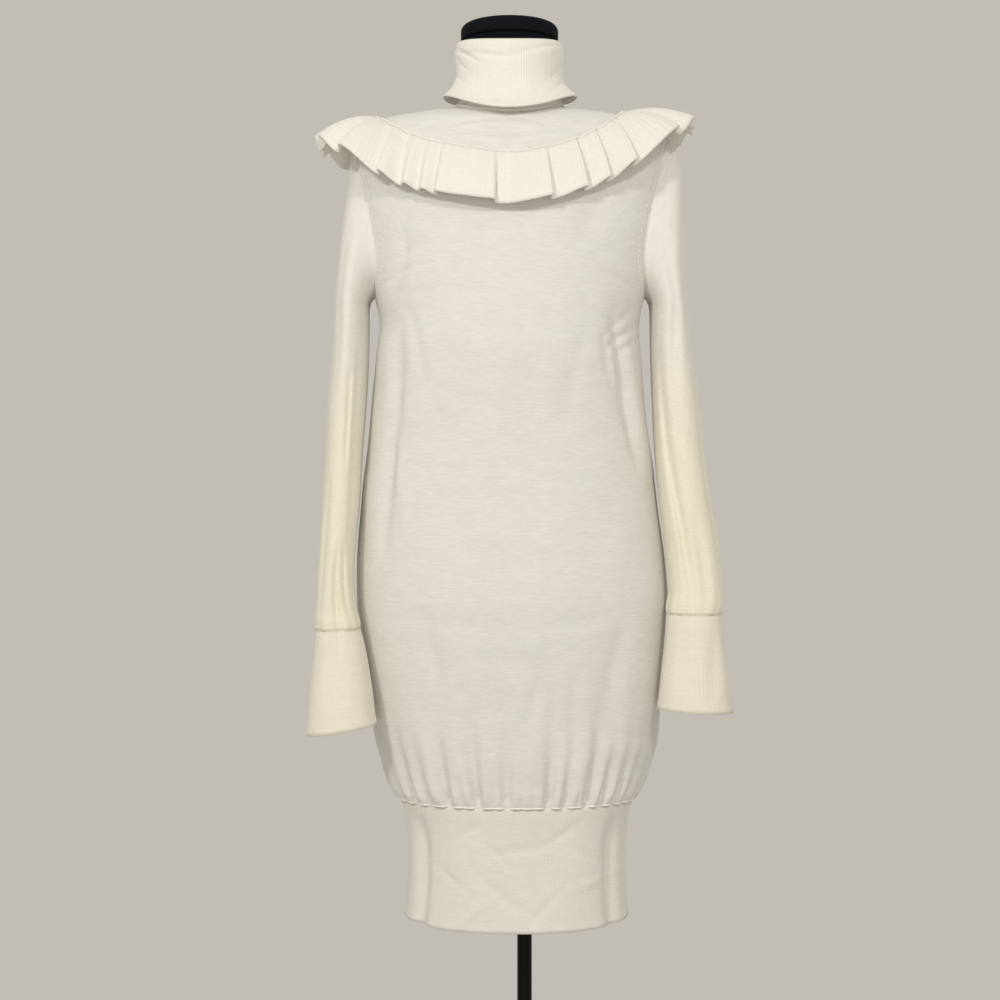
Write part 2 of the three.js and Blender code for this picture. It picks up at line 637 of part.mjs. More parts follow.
function rufflePoint(angle, swing, down) {
  const level = yokeLineLevel(angle);
  const seam = bodyPoint(angle, level);
  const normal = surfaceNormal(bodyPoint, angle, level);
  const ahead = bodyPoint(angle + 0.01, yokeLineLevel(angle + 0.01));
  const behind = bodyPoint(angle - 0.01, yokeLineLevel(angle - 0.01));
  const along = ahead.sub(behind).normalize();
  const outward = new THREE.Vector3(-along.y, along.x, 0).normalize().negate();
  const [reach, drop, arch] = [RUFFLE_OUT, RUFFLE_DROP, RUFFLE_ARCH].map((values) => flaredValue(angle, values));
  const push = (Math.sin(angle) > 0 ? RUFFLE_PUSH.right : RUFFLE_PUSH.left)
    * Math.exp(-(((degreesAway(angle) - RUFFLE_PUSH.middle) / RUFFLE_PUSH.width) ** 2));
  const fall = new THREE.Vector3(0, -Math.sign(Math.cos(angle)) * push, -drop).addScaledVector(outward, reach);
  const face = new THREE.Vector3().crossVectors(along, fall).normalize();
  if (face.dot(normal) < 0) face.negate();
  const size = PLEAT_AT_SEAM + (1 - PLEAT_AT_SEAM) * down ** 0.9;
  return seam
    .addScaledVector(normal, RUFFLE_LIFT)
    .addScaledVector(fall, down)
    .addScaledVector(face, 4 * arch * down * (1 - down) + size * swing);
}

function ruffleGeometry() {
  const columns = pleatRows().flatMap((pleat) => pleatColumns(pleat).map(({ share, swing }) => ({
    angle: THREE.MathUtils.degToRad(pleat.degrees + pleat.span * share),
    lift: swing * pleat.depth,
  })));
  const count = columns.length;
  const downs = [0, 0.33, 0.67, 1];
  const grid = downs.map((down) => columns.map(({ angle, lift }) => rufflePoint(angle, lift, down)));
  const faceOf = (r, c) => {
    const along = grid[r][(c + 1) % count].clone().sub(grid[r][(c + count - 1) % count]);
    const [low, high] = [Math.min(r + 1, downs.length - 1), Math.max(r - 1, 0)];
    return along.cross(grid[low][c].clone().sub(grid[high][c])).normalize();
  };
  const shift = (amount) => grid.map((row, r) => row.map((point, c) => (
    point.clone().addScaledVector(faceOf(r, c), amount))));
  return wallGeometry(shift(RUFFLE_WALL / 2), shift(-RUFFLE_WALL / 2), true);
}

// Collar surface: path 0 to 1 up the inside, 1 to 2 over the fold, 2 to 3 down the outside
function collarPoint(angle, path) {
  const foldZ = aroundValue(angle, COLLAR_FOLD.frontZ, COLLAR_FOLD.sideZ, COLLAR_FOLD.backZ);
  const base = yokePoint(CLOTH_YOKE, angle, 1);
  const circle = (half, z, flare = 0) => new THREE.Vector3(
    NECK_MIDDLE + half * Math.sin(angle),
    NECK_Y - (half + flare) * Math.cos(angle),
    z,
  );
  if (path <= 1) {
    const rise = THREE.MathUtils.clamp(path, -0.05, 1);
    const straight = circle(COLLAR_INNER_HALF, base.z + 1.4 + (foldZ - base.z - 1.4) * rise);
    const spread = Math.max(0, 1 - rise * 4) ** 1.5;
    straight.x += (base.x - straight.x) * spread;
    straight.y += (base.y - straight.y) * spread;
    return straight;
  }
  const outerHalf = COLLAR_FALL[0].half;
  const middle = (COLLAR_INNER_HALF + outerHalf) / 2;
  if (path <= 2) {
    const bend = Math.PI * (path - 1);
    const across = (outerHalf - COLLAR_INNER_HALF) / 2;
    return circle(middle - across * Math.cos(bend), foldZ + COLLAR_FOLD.radius * Math.sin(bend));
  }
  const share = Math.min(path - 2, 1.02);
  const edgeZ = aroundValue(angle, COLLAR_EDGE.frontZ, COLLAR_EDGE.sideZ, COLLAR_EDGE.backZ);
  const half = smoothValue(COLLAR_FALL, 'share', 'half', share);
  const flare = Math.cos(angle) > 0 ? 4 * share ** 3 * Math.cos(angle) : 0;
  return circle(half, foldZ + (edgeZ - foldZ) * share, flare);
}

function collarGeometry() {
  const paths = [0, 0.1, 0.22, 0.6, 1, 1.3, 1.7, 2, 2.25, 2.6, 2.82, 3];
  const places = paths.map((path) => (
    Array.from({ length: COLLAR_STEPS }, (_, i) => [TAU * i / COLLAR_STEPS, path])));
  return wallOnSurface(collarPoint, places, { out: RIB_WALL / 2, inward: RIB_WALL / 2, closed: true });
}

function bandPoint(angle, z) {
  const point = sectionPoint(BAND_SECTIONS, angle, z);
  const share = (BAND_SECTIONS[0].z - z) / (BAND_SECTIONS[0].z - BAND_SECTIONS.at(-1).z);
  const turned = angle > 2 * QUARTER ? angle - TAU : angle;
  let pressed = 0;
  for (const groove of BAND_GROOVES) {
    const away = (turned - groove.turn) / BAND_GROOVE_WIDTH;
    pressed += groove.depth * THREE.MathUtils.smoothstep(share, 0, 0.35) * Math.exp(-away * away);
  }
  const forward = Math.max(0, Math.cos(angle));
  point.x -= pressed * Math.sin(angle);
  point.y += pressed * Math.cos(angle);
  point.z -= HEM_DIP * forward * share;
  return point;
}

function bandGeometry(middle) {
  const columns = 22;
  const heights = [645.7, 637, 622, 598, 560, 519];
  const reach = panelReach(-1);
  const places = heights.map((z) => (
    Array.from({ length: columns + 1 }, (_, i) => [middle + reach * (2 * i / columns - 1), z])));
  const smooth = (angle, z) => sectionPoint(BAND_SECTIONS, angle, z);
  return wallOnSurface(bandPoint, places, { inward: RIB_WALL, normalFrom: smooth });
}

function formTorso() {
  const ring = (pointAt) => Array.from({ length: COLLAR_STEPS }, (_, i) => pointAt(TAU * i / COLLAR_STEPS));
  const lower = [FORM_BOTTOM_Z, 790, 830, 871, 910, 955, 1000, 1050, 1100, 1150];
  const rings = lower.map((z) => ring((angle) => sectionPoint(FORM_SECTIONS, angle, z)));
  for (const share of [0, 0.08, 0.2, 0.35, 0.5, 0.65, 0.8, 0.92, 1]) {
    rings.push(ring((angle) => yokePoint(FORM_YOKE, angle, share)));
  }
  for (const z of [1432, NECK_TOP_Z]) {
    rings.push(ring((angle) => neckPoint(angle, z, NECK_RADIUS)));
  }
  return loftGeometry(rings);
}

function neckPoint(angle, z, radius) {
  return new THREE.Vector3(NECK_MIDDLE + radius * Math.sin(angle), NECK_Y - radius * Math.cos(angle), z);
}

function neckCap() {
  const low = NECK_TOP_Z + SEAM_GAP;
  const profile = [
    { z: low, radius: CAP_RADIUS - 1.2 },
    { z: low + 1.5, radius: CAP_RADIUS },
    { z: CAP_TOP_Z - 2.5, radius: CAP_RADIUS },
    { z: CAP_TOP_Z, radius: CAP_RADIUS - 2.5 },
  ];
  return loftGeometry(profile.map(({ z, radius }) => (
    Array.from({ length: 36 }, (_, i) => neckPoint(TAU * i / 36, z, radius)))));
}

function pole() {
  const length = FORM_BOTTOM_Z - BASE_THICKNESS - 2 * SEAM_GAP;
  const geometry = new THREE.CylinderGeometry(POLE_RADIUS, POLE_RADIUS, length, 24);
  geometry.rotateX(QUARTER);
  geometry.translate(0, 0, BASE_THICKNESS + SEAM_GAP + length / 2);
  return geometry;
}

function basePlate() {
  const chamfer = 2;
  const geometry = new THREE.LatheGeometry([
    new THREE.Vector2(0, 0),
    new THREE.Vector2(BASE_RADIUS, 0),
    new THREE.Vector2(BASE_RADIUS, BASE_THICKNESS - chamfer),
    new THREE.Vector2(BASE_RADIUS - chamfer, BASE_THICKNESS),
    new THREE.Vector2(0, BASE_THICKNESS),
  ], 48);
  geometry.rotateX(QUARTER);
  return geometry;
}

const dress = new THREE.Group();

function addPiece(name, geometry, material) {
  const mesh = new THREE.Mesh(geometry, material);
  mesh.name = name;
  dress.add(mesh);
}

addPiece('front_panel', frontPanel(), bodyKnit);
addPiece('back_panel', backPanel(), bodyKnit);
addPiece('sleeve_left', sleeveGeometry(LEFT_SLEEVE), sleeveKnit);
addPiece('sleeve_right', sleeveGeometry(RIGHT_SLEEVE), sleeveKnit);
addPiece('cuff_left', cuffGeometry(LEFT_SLEEVE), ribbing);
addPiece('cuff_right', cuffGeometry(RIGHT_SLEEVE), ribbing);
addPiece('hem_band_front', bandGeometry(0), ribbing);
addPiece('hem_band_back', bandGeometry(2 * QUARTER), ribbing);
addPiece('collar', collarGeometry(), ribbing);
addPiece('ruffle', ruffleGeometry(), ribbing);
addPiece('form_torso', formTorso(), formCloth);
addPiece('neck_cap', neckCap(), formCloth);
addPiece('pole', pole(), blackSteel);
addPiece('base_plate', basePlate(), blackSteel);

export default dress;
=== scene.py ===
# Sweater dress on a limbless dress form. Tables and sizes are in millimetres and the
# meshes are written in metres; the front faces -Y and the pole stands on the origin.
import json
import math

import bpy
import mathutils
import numpy as np
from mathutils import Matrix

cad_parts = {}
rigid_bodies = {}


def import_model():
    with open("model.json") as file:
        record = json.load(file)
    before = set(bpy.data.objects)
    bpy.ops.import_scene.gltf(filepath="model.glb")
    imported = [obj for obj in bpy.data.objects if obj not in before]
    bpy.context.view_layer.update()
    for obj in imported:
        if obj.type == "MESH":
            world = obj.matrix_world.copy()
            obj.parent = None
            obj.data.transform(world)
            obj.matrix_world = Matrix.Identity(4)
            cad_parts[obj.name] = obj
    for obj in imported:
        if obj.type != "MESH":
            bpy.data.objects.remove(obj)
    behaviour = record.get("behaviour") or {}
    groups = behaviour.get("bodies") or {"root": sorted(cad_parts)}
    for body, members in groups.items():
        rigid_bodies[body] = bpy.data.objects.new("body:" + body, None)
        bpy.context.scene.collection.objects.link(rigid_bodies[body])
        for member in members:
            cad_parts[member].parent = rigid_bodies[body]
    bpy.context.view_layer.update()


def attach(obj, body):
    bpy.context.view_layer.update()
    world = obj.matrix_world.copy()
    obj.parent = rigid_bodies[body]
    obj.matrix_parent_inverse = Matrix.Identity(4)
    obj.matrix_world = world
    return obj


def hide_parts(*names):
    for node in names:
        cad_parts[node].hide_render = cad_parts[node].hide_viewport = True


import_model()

MM = 0.001
TAU = 2 * math.pi
QUARTER = math.pi / 2
ROUNDNESS = 0.88         # power on sine and cosine of the body's ovals, 1 is an ellipse

KNIT_WALL = 1.5
RIB_WALL = 1.7
RUFFLE_WALL = 1.3
SEAM_GAP = 0.15
HEM_SEAM_Z = 646.0
CHEST_Z = 1192.0
NECK_MIDDLE = -16.5
NECK_Y = -4.0
NECK_RADIUS = 50.6
NECK_TOP_Z = 1473.0
CAP_TOP_Z = 1490.0
CAP_RADIUS = 53.4
FORM_BOTTOM_Z = 770.0


# Table with named columns
def table(names, *rows):
    return {name: np.array([row[i] for row in rows], float) for i, name in enumerate(names.split())}


BODY = table("z half front back middle",
             (646, 129.5, 93, 88, -8.8), (660, 138.5, 98.5, 95, -8.8), (673, 145, 101, 99, -8.8),
             (690, 149.8, 103, 102, -8.8), (706, 154.5, 104, 105, -8.8), (745, 159.5, 106, 110, -10.5),
             (800, 166, 109.5, 115, -12.2), (871, 170.5, 113, 118, -13.8), (970, 162, 107, 103, -17),
             (1025, 155, 105, 93, -17.6), (1080, 149, 107, 87, -18), (1130, 145, 111, 86, -17.5),
             (1165, 142.3, 109.54, 88.2, -16.5), (1192, 148, 108, 88, -16.5))
BAND = table("z half front back middle",
             (519, 122.5, 91, 87, -9), (552, 119.5, 89, 85, -8.4), (580, 119, 88, 84, -8.2),
             (611, 120, 88, 84, -8.4), (629, 123, 89.5, 85, -8.6), (645.7, 128.5, 92.5, 87.5, -8.8))
FORM = table("z half front back middle",
             (770, 150, 98, 103, -11), (800, 157, 103, 108, -12), (871, 162, 105, 110, -13.8),
             (930, 154, 98, 100, -15.5), (1000, 132, 88, 84, -17), (1060, 121, 86, 75, -17.5),
             (1120, 129, 97, 77, -17), (1192, 140, 101, 81, -16.5))
# Rings over the shoulders: chest, shoulder and neckline
CLOTH_YOKE = table("half front back front_z side_z back_z",
                   (148, 108, 88, 1192, 1192, 1192), (189, 98, 84, 1367, 1384, 1391),
                   (59, 62, 48, 1385, 1399, 1410))
FORM_YOKE = table("half front back front_z side_z back_z",
                  (140, 101, 81, 1192, 1192, 1192), (184, 92, 78, 1361, 1379, 1385),
                  (48.8, 52.8, 44.8, 1378, 1393, 1404))
SHOULDER_LEVEL = 0.5
SHOULDER_PULL = 3.0
ARMHOLE_DIP = math.radians(26)


# Value of a table's column on a smooth curve through its rows
def smooth_value(rows, key, column, at):
    x, y = rows[key], rows[column]
    if x[0] > x[-1]:
        x, y = x[::-1], y[::-1]
    slopes = np.empty_like(y)
    slopes[1:-1] = (y[2:] - y[:-2]) / (x[2:] - x[:-2])
    slopes[0] = (y[1] - y[0]) / (x[1] - x[0])
    slopes[-1] = (y[-1] - y[-2]) / (x[-1] - x[-2])
    place = np.clip(at, x[0], x[-1])
    i = np.clip(np.searchsorted(x, place) - 1, 0, len(x) - 2)
    span = x[i + 1] - x[i]
    t = (place - x[i]) / span
    bend = (t**3 - 2 * t * t + t) * slopes[i] + (t**3 - t * t) * slopes[i + 1]
    return y[i] + (y[i + 1] - y[i]) * (3 * t * t - 2 * t**3) + bend * span


def soft_step(value, low, high):
    t = np.clip((value - low) / (high - low), 0, 1)
    return t * t * (3 - 2 * t)


def full_turn(count):
    return TAU * np.arange(count) / count


def bump(value, middle, width):
    return np.exp(-((value - middle) / width) ** 2)


def signed_power(value):
    return np.sign(value) * np.abs(value) ** ROUNDNESS


def around(angle, front, side, back):
    forward = np.cos(angle)
    return side + (np.where(forward > 0, front, back) - side) * forward * forward


def stack(x, y, z):
    return np.stack(np.broadcast_arrays(x, y, z), axis=-1)


def level_direction(angle):
    return stack(np.sin(angle), -np.cos(angle), 0.0)


def oval(angle, half, front, back, middle, z):
    deep = np.where(np.cos(angle) > 0, front, back)
    return stack(middle + half * signed_power(np.sin(angle)), -deep * signed_power(np.cos(angle)), z)


def section_point(rows, angle, z):
    half, front, back, middle = (smooth_value(rows, "z", c, z) for c in ("half", "front", "back", "middle"))
    return oval(angle, half, front, back, middle, z)


def yoke_point(yoke, angle, share):
    pull = 1 + SHOULDER_PULL * np.abs(np.sin(angle)) ** 6
    weights = [(1 - share) ** 2, 2 * share * (1 - share) * pull, share**2]
    total = sum(weights)
    point = 0
    for i, weight in enumerate(weights):
        z = around(angle, yoke["front_z"][i], yoke["side_z"][i], yoke["back_z"][i])
        ring = oval(angle, yoke["half"][i], yoke["front"][i], yoke["back"][i], NECK_MIDDLE, z)
        point = point + ring * (weight / total)[..., None]
    return point


# Level -1 is the hem seam, 0 the chest and 1 the neckline
def body_point(angle, level):
    angle, level = np.broadcast_arrays(np.asarray(angle, float), np.asarray(level, float))
    upper = yoke_point(CLOTH_YOKE, angle, np.maximum(level, 0))
    lower = section_point(BODY, angle, CHEST_Z + np.minimum(level, 0) * (CHEST_Z - HEM_SEAM_Z))
    return np.where((level >= 0)[..., None], upper, lower)


def level_of(z):
    return (z - CHEST_Z) / (CHEST_Z - HEM_SEAM_Z)


def unit(vectors):
    return vectors / np.maximum(np.linalg.norm(vectors, axis=-1, keepdims=True), 1e-12)


def surface_normal(surface, u, v, step=1e-3):
    along = surface(u + step, v) - surface(u - step, v)
    up = surface(u, v + step) - surface(u, v - step)
    return unit(np.cross(along, up))


SIDE_LEVELS = np.linspace(0, SHOULDER_LEVEL, 400)
SIDE_HEIGHTS = body_point(QUARTER, SIDE_LEVELS)[:, 2]


# Armhole at a share of a turn: 0 at the shoulder, 0.25 front, 0.5 underarm, 0.75 back
def armhole_place(turn):
    share = (1 + np.cos(TAU * turn)) / 2
    wanted = SIDE_HEIGHTS[0] + (SIDE_HEIGHTS[-1] - SIDE_HEIGHTS[0]) * share
    across = np.sin(TAU * turn)
    level = np.interp(wanted, SIDE_HEIGHTS, SIDE_LEVELS)
    return QUARTER - ARMHOLE_DIP * np.sign(across) * np.abs(across) ** 0.8, level


# Places on the cloth

# Gathers over the hem band's seam: place from the centre front, depth, height
FRONT_GATHERS = table("x depth reach",
                      (-119, 5.0, 60), (-107, 9.6, 90), (-92.6, 8.2, 80), (-71.5, 12.5, 120),
                      (-56, 5.0, 55), (-41, 13.5, 135), (-24, 4.8, 60), (-10.6, 11, 105),
                      (5, 4.4, 65), (17, 4.6, 50), (32, 12.5, 130), (50, 10.5, 95), (62, 4.8, 50),
                      (73, 13, 120), (88, 10, 90), (102, 8.4, 80), (113, 6.8, 65), (122, 4.4, 50))
GATHER_WIDTH = 6.0
PUCKER_DEPTH = 0.5
BACK_GATHERS = 19
FOLD_SWAY = 2.5
# Long soft folds of the front: both ends' places and heights, then width and depth
FRONT_FOLDS = table("low_x low_z high_x high_z width depth",
                    (-134, 900, -117, 1165, 8, 6.5), (-112, 930, -128, 1130, 7, -1.8),
                    (142, 1000, 106, 1172, 6, 7), (154, 990, 124, 1140, 8, -3.5),
                    (-121, 1190, -112, 1262, 7, 3.2), (70, 1236, 104, 1300, 14, 2.4),
                    (122, 1060, 96, 1150, 6, 2.4), (104, 1126, 138, 1164, 4.2, 4.5),
                    (116, 1120, 142, 1150, 3.2, 3), (98, 1134, 130, 1178, 4, 2.2),
                    (60, 1040, 74, 1150, 10, 1.6), (-84, 1090, -112, 1180, 6, 1.8),
                    (30, 880, 12, 1120, 16, 1.2), (-40, 860, -66, 1040, 14, 1.4),
                    (-70, 715, -96, 860, 10, 3.0), (96, 712, 118, 850, 10, 3.0),
                    (10, 702, 26, 800, 9, 2.4), (-30, 700, -24, 790, 8, 2.2),
                    (58, 690, 66, 800, 9, 2.6))
BACK_FOLDS = table("low_x low_z high_x high_z width depth",
                   (-128, 960, -104, 1165, 10, 5), (126, 980, 107, 1160, 10, 5),
                   (-20, 960, -14, 1150, 15, 4), (46, 940, 30, 1120, 12, 2.4),
                   (-70, 930, -58, 1130, 12, 2.2), (88, 930, 96, 1110, 9, 2.2),
                   (-90, 715, -110, 850, 10, 2.2), (80, 712, 104, 840, 10, 2.2),
                   (-10, 700, -18, 800, 9, 1.5))
# Pull lines across the cloth: middle, slope, then reach, width and depth
CROSS_FOLDS = table("x z tilt length width depth",
                    (-58, 1371, 0.12, 36, 3.4, 2.4), (46, 1368, -0.16, 44, 3.4, 2.6),
                    (-2, 1360, 0.0, 66, 4.2, 2.8), (-6, 1351, 0.03, 72, 4.5, -1.6),
                    (-12, 1374, 0.04, 34, 2.6, 1.4), (96, 1296, -0.5, 40, 9, 1.4),
                    (-96, 1240, 0.5, 26, 5, 1.2), (100, 1236, -0.6, 30, 5, 1.6),
                    (112, 1205, -0.5, 22, 4, 2.0), (-112, 1212, 0.5, 18, 4, 1.2),
                    (20, 905, 0.06, 60, 12, 1.0), (-60, 838, -0.12, 50, 9, 1.2),
                    (72, 842, 0.14, 48, 9, 1.2), (10, 800, 0.04, 60, 10, 0.9))


# Depth of long folds, each between two places and heights, with a sway
def fold_depth(folds, place, z, power, sway=0.0):
    depth = 0
    for low, low_z, high, high_z, width, deep in zip(*folds.values()):
        share = (z - low_z) / (high_z - low_z)
        ends = np.sin(math.pi * np.clip(share, 0, 1)) ** power
        middle = low + (high - low) * share + sway * np.sin(share * 5 + low)
        depth = depth + deep * ends * bump(place, middle, width)
    return depth


def cross_depth(folds, offset, z):
    depth = 0
    for x, middle_z, tilt, length, width, deep in zip(*folds.values()):
        line = z - middle_z - tilt * (offset - x) - 0.0012 * (offset - x) ** 2
        depth = depth + deep * bump(offset, x, length) * bump(line, 0, width)
    return depth


HEM_TURNS = np.linspace(-2 * QUARTER, 4 * QUARTER, 2000)
HEM_LENGTHS = np.concatenate([[0], np.cumsum(np.linalg.norm(
    np.diff(section_point(BODY, HEM_TURNS, HEM_SEAM_Z), axis=0), axis=-1))])


# Creases round a tube: each has a middle angle and height, a slope, a reach, a width and a depth
def crease_depth(creases, angle, height, slope_unit):
    depth = 0
    for at, where, tilt, length, width, deep in zip(*creases.values()):
        away = np.degrees(np.mod(angle - math.radians(at) + math.pi, TAU) - math.pi)
        line = height - where - tilt * slope_unit * away
        depth = depth + deep * bump(away, 0, length) * bump(line, 0, width)
    return depth


# Length along the hem seam at an angle
def hem_length(angle):
    return np.interp(angle, HEM_TURNS, HEM_LENGTHS)


def hem_angles(x):
    return np.sign(x) * np.arcsin(np.clip((np.abs(x) / BODY["half"][0]) ** (1 / ROUNDNESS), 0, 1))


def back_gathers():
    i = np.arange(BACK_GATHERS)
    share = (i + 1) / (BACK_GATHERS + 1) + 0.012 * np.sin(5 * i + 1)
    angle = QUARTER + 2 * QUARTER * share
    return angle, 8.0 + 2.8 * np.sin(3 * i + 0.5), 78 + 26 * np.sin(2 * i + 2)


def gather_depth(gathers, angle, height):
    place = hem_length(angle)
    depth = 0
    for middle, deep, reach in zip(*gathers):
        rise = 0.34 + 0.66 * soft_step(height, 0, 12)
        fade = np.exp(-((np.maximum(height, 0) / reach) ** 1.4) * 1.7)
        wide = GATHER_WIDTH * (0.85 + height / 120)
        depth = depth + deep * rise * fade * bump(place, hem_length(middle), wide)
    return depth


# Panel with gathers, folds and a little puff over the seam
def panel_surface(gathers, folds, cross):
    def surface(angle, level):
        point = body_point(angle, level)
        z = point[..., 2]
        offset = point[..., 0] - smooth_value(BODY, "z", "middle", z)
        height = z - HEM_SEAM_Z
        pressed = gather_depth(gathers, angle, height)
        puff = 2.6 * bump(height, 9, 10) - 0.2 * pressed * bump(height, 4, 12)
        pucker = np.sin(offset / 1.5 + 3 * np.sin(offset / 11)) * np.exp(-np.maximum(height, 0) / 11)
        puff = puff + PUCKER_DEPTH * pucker * soft_step(height, 0, 3)
        depth = pressed + fold_depth(folds, offset, z, 0.7, FOLD_SWAY)
        depth = depth + cross_depth(cross, offset, z) - puff
        ripple = 0.35 * np.sin(z / 17 + 3 * np.sin(angle * 4)) * np.sin(offset / 23 + z / 61)
        depth = depth + ripple * soft_step(np.abs(height), 60, 140)
        return point - level_direction(angle) * depth[..., None]
    return surface


def panel_limit(level):
    deep = np.abs(body_point(0 * level, level)[..., 1])
    return QUARTER - np.arcsin((SEAM_GAP / deep) ** (1 / ROUNDNESS))


def panel_grid(middle, columns, low_rows, armhole_rows, top_rows):
    heights = (np.linspace(0, 1, low_rows) ** 1.25) * (CHEST_Z - HEM_SEAM_Z)
    levels = level_of(HEM_SEAM_Z + heights)
    limits = panel_limit(levels)
    along = np.linspace(0, 1, armhole_rows)[1:]
    share = along**1.5 / (along**1.5 + (1 - along) ** 1.5)
    angles, hole_levels = armhole_place(np.arccos(2 * share - 1) / TAU)
    top_levels = np.linspace(SHOULDER_LEVEL, 1, top_rows)[1:]
    levels = np.concatenate([levels, hole_levels, top_levels])
    limits = np.concatenate([limits, np.minimum(angles, panel_limit(hole_levels)), panel_limit(top_levels)])
    share = np.linspace(-1, 1, columns)
    return middle + limits[:, None] * share[None, :], np.repeat(levels[:, None], columns, axis=1)


SLEEVES = {
    "left": dict(
        side=-1, head=(-0.3, 0.9, 75), bicep_out=12, seam_z=833, hem_z=727, tilt=0.16,
        rows=table("z outer inner y depth",
                   (727, -231.5, -158.5, -71, 82), (771, -229, -163.5, -68, 75),
                   (814, -224, -171, -64, 68), (833, -224, -176, -61, 66), (873, -223, -183, -54, 73),
                   (916, -221, -183, -46, 80), (970, -218.6, -178.4, -34, 90), (1024, -216, -176, -26, 98),
                   (1079, -214, -172.5, -17, 108), (1134, -210, -170.6, -8, 118),
                   (1179, -208, -171, -2, 126)),
        folds=table("low_turn low_z high_turn high_z width depth",
                    (0.15, 836, 0.17, 1010, 0.03, 4.5), (0.62, 860, 0.55, 1080, 0.05, 4.5),
                    (0.37, 915, 0.345, 1150, 0.022, 8), (0.265, 808, 0.275, 930, 0.02, 7),
                    (0.3, 1000, 0.285, 1115, 0.018, 5), (0.36, 838, 0.32, 930, 0.025, 6),
                    (0.4, 1165, 0.34, 1300, 0.022, 4.5), (0.1, 1030, 0.07, 1240, 0.03, 3),
                    (0.85, 850, 0.78, 1090, 0.05, 4), (0.2, 1110, 0.13, 1290, 0.03, 3.4),
                    (0.22, 740, 0.24, 826, 0.04, 2.4), (0.32, 990, 0.31, 1110, 0.014, -3.5),
                    (0.23, 1060, 0.25, 1210, 0.04, -3))),
    "right": dict(
        side=1, head=(0.8, 0.5, 90), bicep_out=30, seam_z=849, hem_z=747, tilt=-0.05,
        rows=table("z outer inner y depth",
                   (747, 219.5, 141, -67, 81), (777, 217, 144, -65, 76), (820, 211.5, 149, -60, 70),
                   (849, 210, 151, -56, 68), (873, 212.5, 153, -52, 72), (916, 209, 150.5, -44, 79),
                   (970, 201, 145, -34, 88), (1024, 194, 141, -26, 96), (1079, 189.5, 139, -17, 106),
                   (1134, 183, 138, -8, 116), (1179, 178.7, 138, -2, 124)),
        folds=table("low_turn low_z high_turn high_z width depth",
                    (0.27, 830, 0.395, 1160, 0.028, 10), (0.6, 870, 0.68, 1100, 0.05, 5),
                    (0.1, 860, 0.115, 1165, 0.018, 9), (0.3, 1060, 0.2, 1240, 0.03, 4),
                    (0.2, 752, 0.15, 842, 0.04, 3.2), (0.3, 760, 0.33, 845, 0.04, 2.4),
                    (0.86, 860, 0.8, 1110, 0.05, 4), (0.21, 850, 0.24, 960, 0.025, 5),
                    (0.33, 880, 0.34, 1060, 0.02, -3))),
}


def sleeve_oval(sleeve, turn, z):
    rows = sleeve["rows"]
    outer, inner, y, depth = (smooth_value(rows, "z", c, z) for c in ("outer", "inner", "y", "depth"))
    pressed = fold_depth(sleeve["folds"], turn, z, 1.2)
    x = (outer + inner) / 2 + signed_power(np.cos(TAU * turn)) * (outer - inner) / 2
    return stack(x, y - signed_power(np.sin(TAU * turn)) * (depth / 2 - pressed), z)


# Way 0 to 1 runs from the armhole to the upper arm, 1 to 2 down to the hem
def sleeve_point(sleeve, turn, way):
    turn, way = np.broadcast_arrays(np.mod(turn, 1.0), np.asarray(way, float))
    side, rows, hem_z = sleeve["side"], sleeve["rows"], sleeve["hem_z"]
    top_z = rows["z"][-1]
    z = top_z - np.maximum(way - 1, 0) * (top_z - hem_z)
    low_part = sleeve_oval(sleeve, turn, z)
    low_part[..., 2] += (sleeve["tilt"] * np.maximum(0, way - 1) ** 6
                         * (low_part[..., 0] - (rows["outer"][0] + rows["inner"][0]) / 2))

    def edge(at):
        angle, level = armhole_place(at)
        return body_point(side * angle, level)

    angle, level = armhole_place(turn)
    upper = (1 + np.cos(TAU * turn)) / 2
    low, head = soft_step(upper, 0, 0.5), soft_step(upper, 0.5, 1)

    def blend(under, front, top):
        return (under + (front - under) * low + (top - front) * head)[..., None]

    normal = surface_normal(body_point, side * angle, level)
    along = unit(edge(turn + 0.004) - edge(turn - 0.004))
    away = np.cross(normal, along) * side
    head_normal, head_away, head_length = sleeve["head"]
    leave = blend(1, 0.75, head_normal) * normal + blend(0, 0.5, head_away) * away
    leave[..., 2] += blend(-0.3, 0, 0)[..., 0]
    leave = leave * blend(14, 42, head_length)
    start = edge(turn) + unit(leave) * blend(0.9, 0.3, 0.25)
    arrive = stack(side * sleeve["bicep_out"] * upper, 0 * upper, -16 - 190 * upper)
    t = np.clip(way, 0, 1)[..., None]
    high_part = (start * (2 * t**3 - 3 * t * t + 1) + leave * (t**3 - 2 * t * t + t)
                 + sleeve_oval(sleeve, turn, top_z) * (3 * t * t - 2 * t**3)
                 + arrive * (t**3 - t * t))
    return np.where((way > 1)[..., None], low_part, high_part)


def sleeve_way(sleeve, z):
    top_z = sleeve["rows"]["z"][-1]
    return 1 + (top_z - z) / (top_z - sleeve["hem_z"])


# Ruffle

YOKE_DEPTH = dict(front=58, left=90, right=68, back=60)
RUFFLE_OUT = dict(front=24, left=62, right=76)
RUFFLE_DROP = dict(front=57, left=30, right=13)
RUFFLE_ARCH = dict(front=3, left=8, right=7)
RUFFLE_LEAVES = dict(left=50, right=54)
RUFFLE_FREE = dict(left=80, right=82)
RUFFLE_PUSH = dict(left=14, right=26, middle=60, width=15)
RUFFLE_LIFT = 2.5
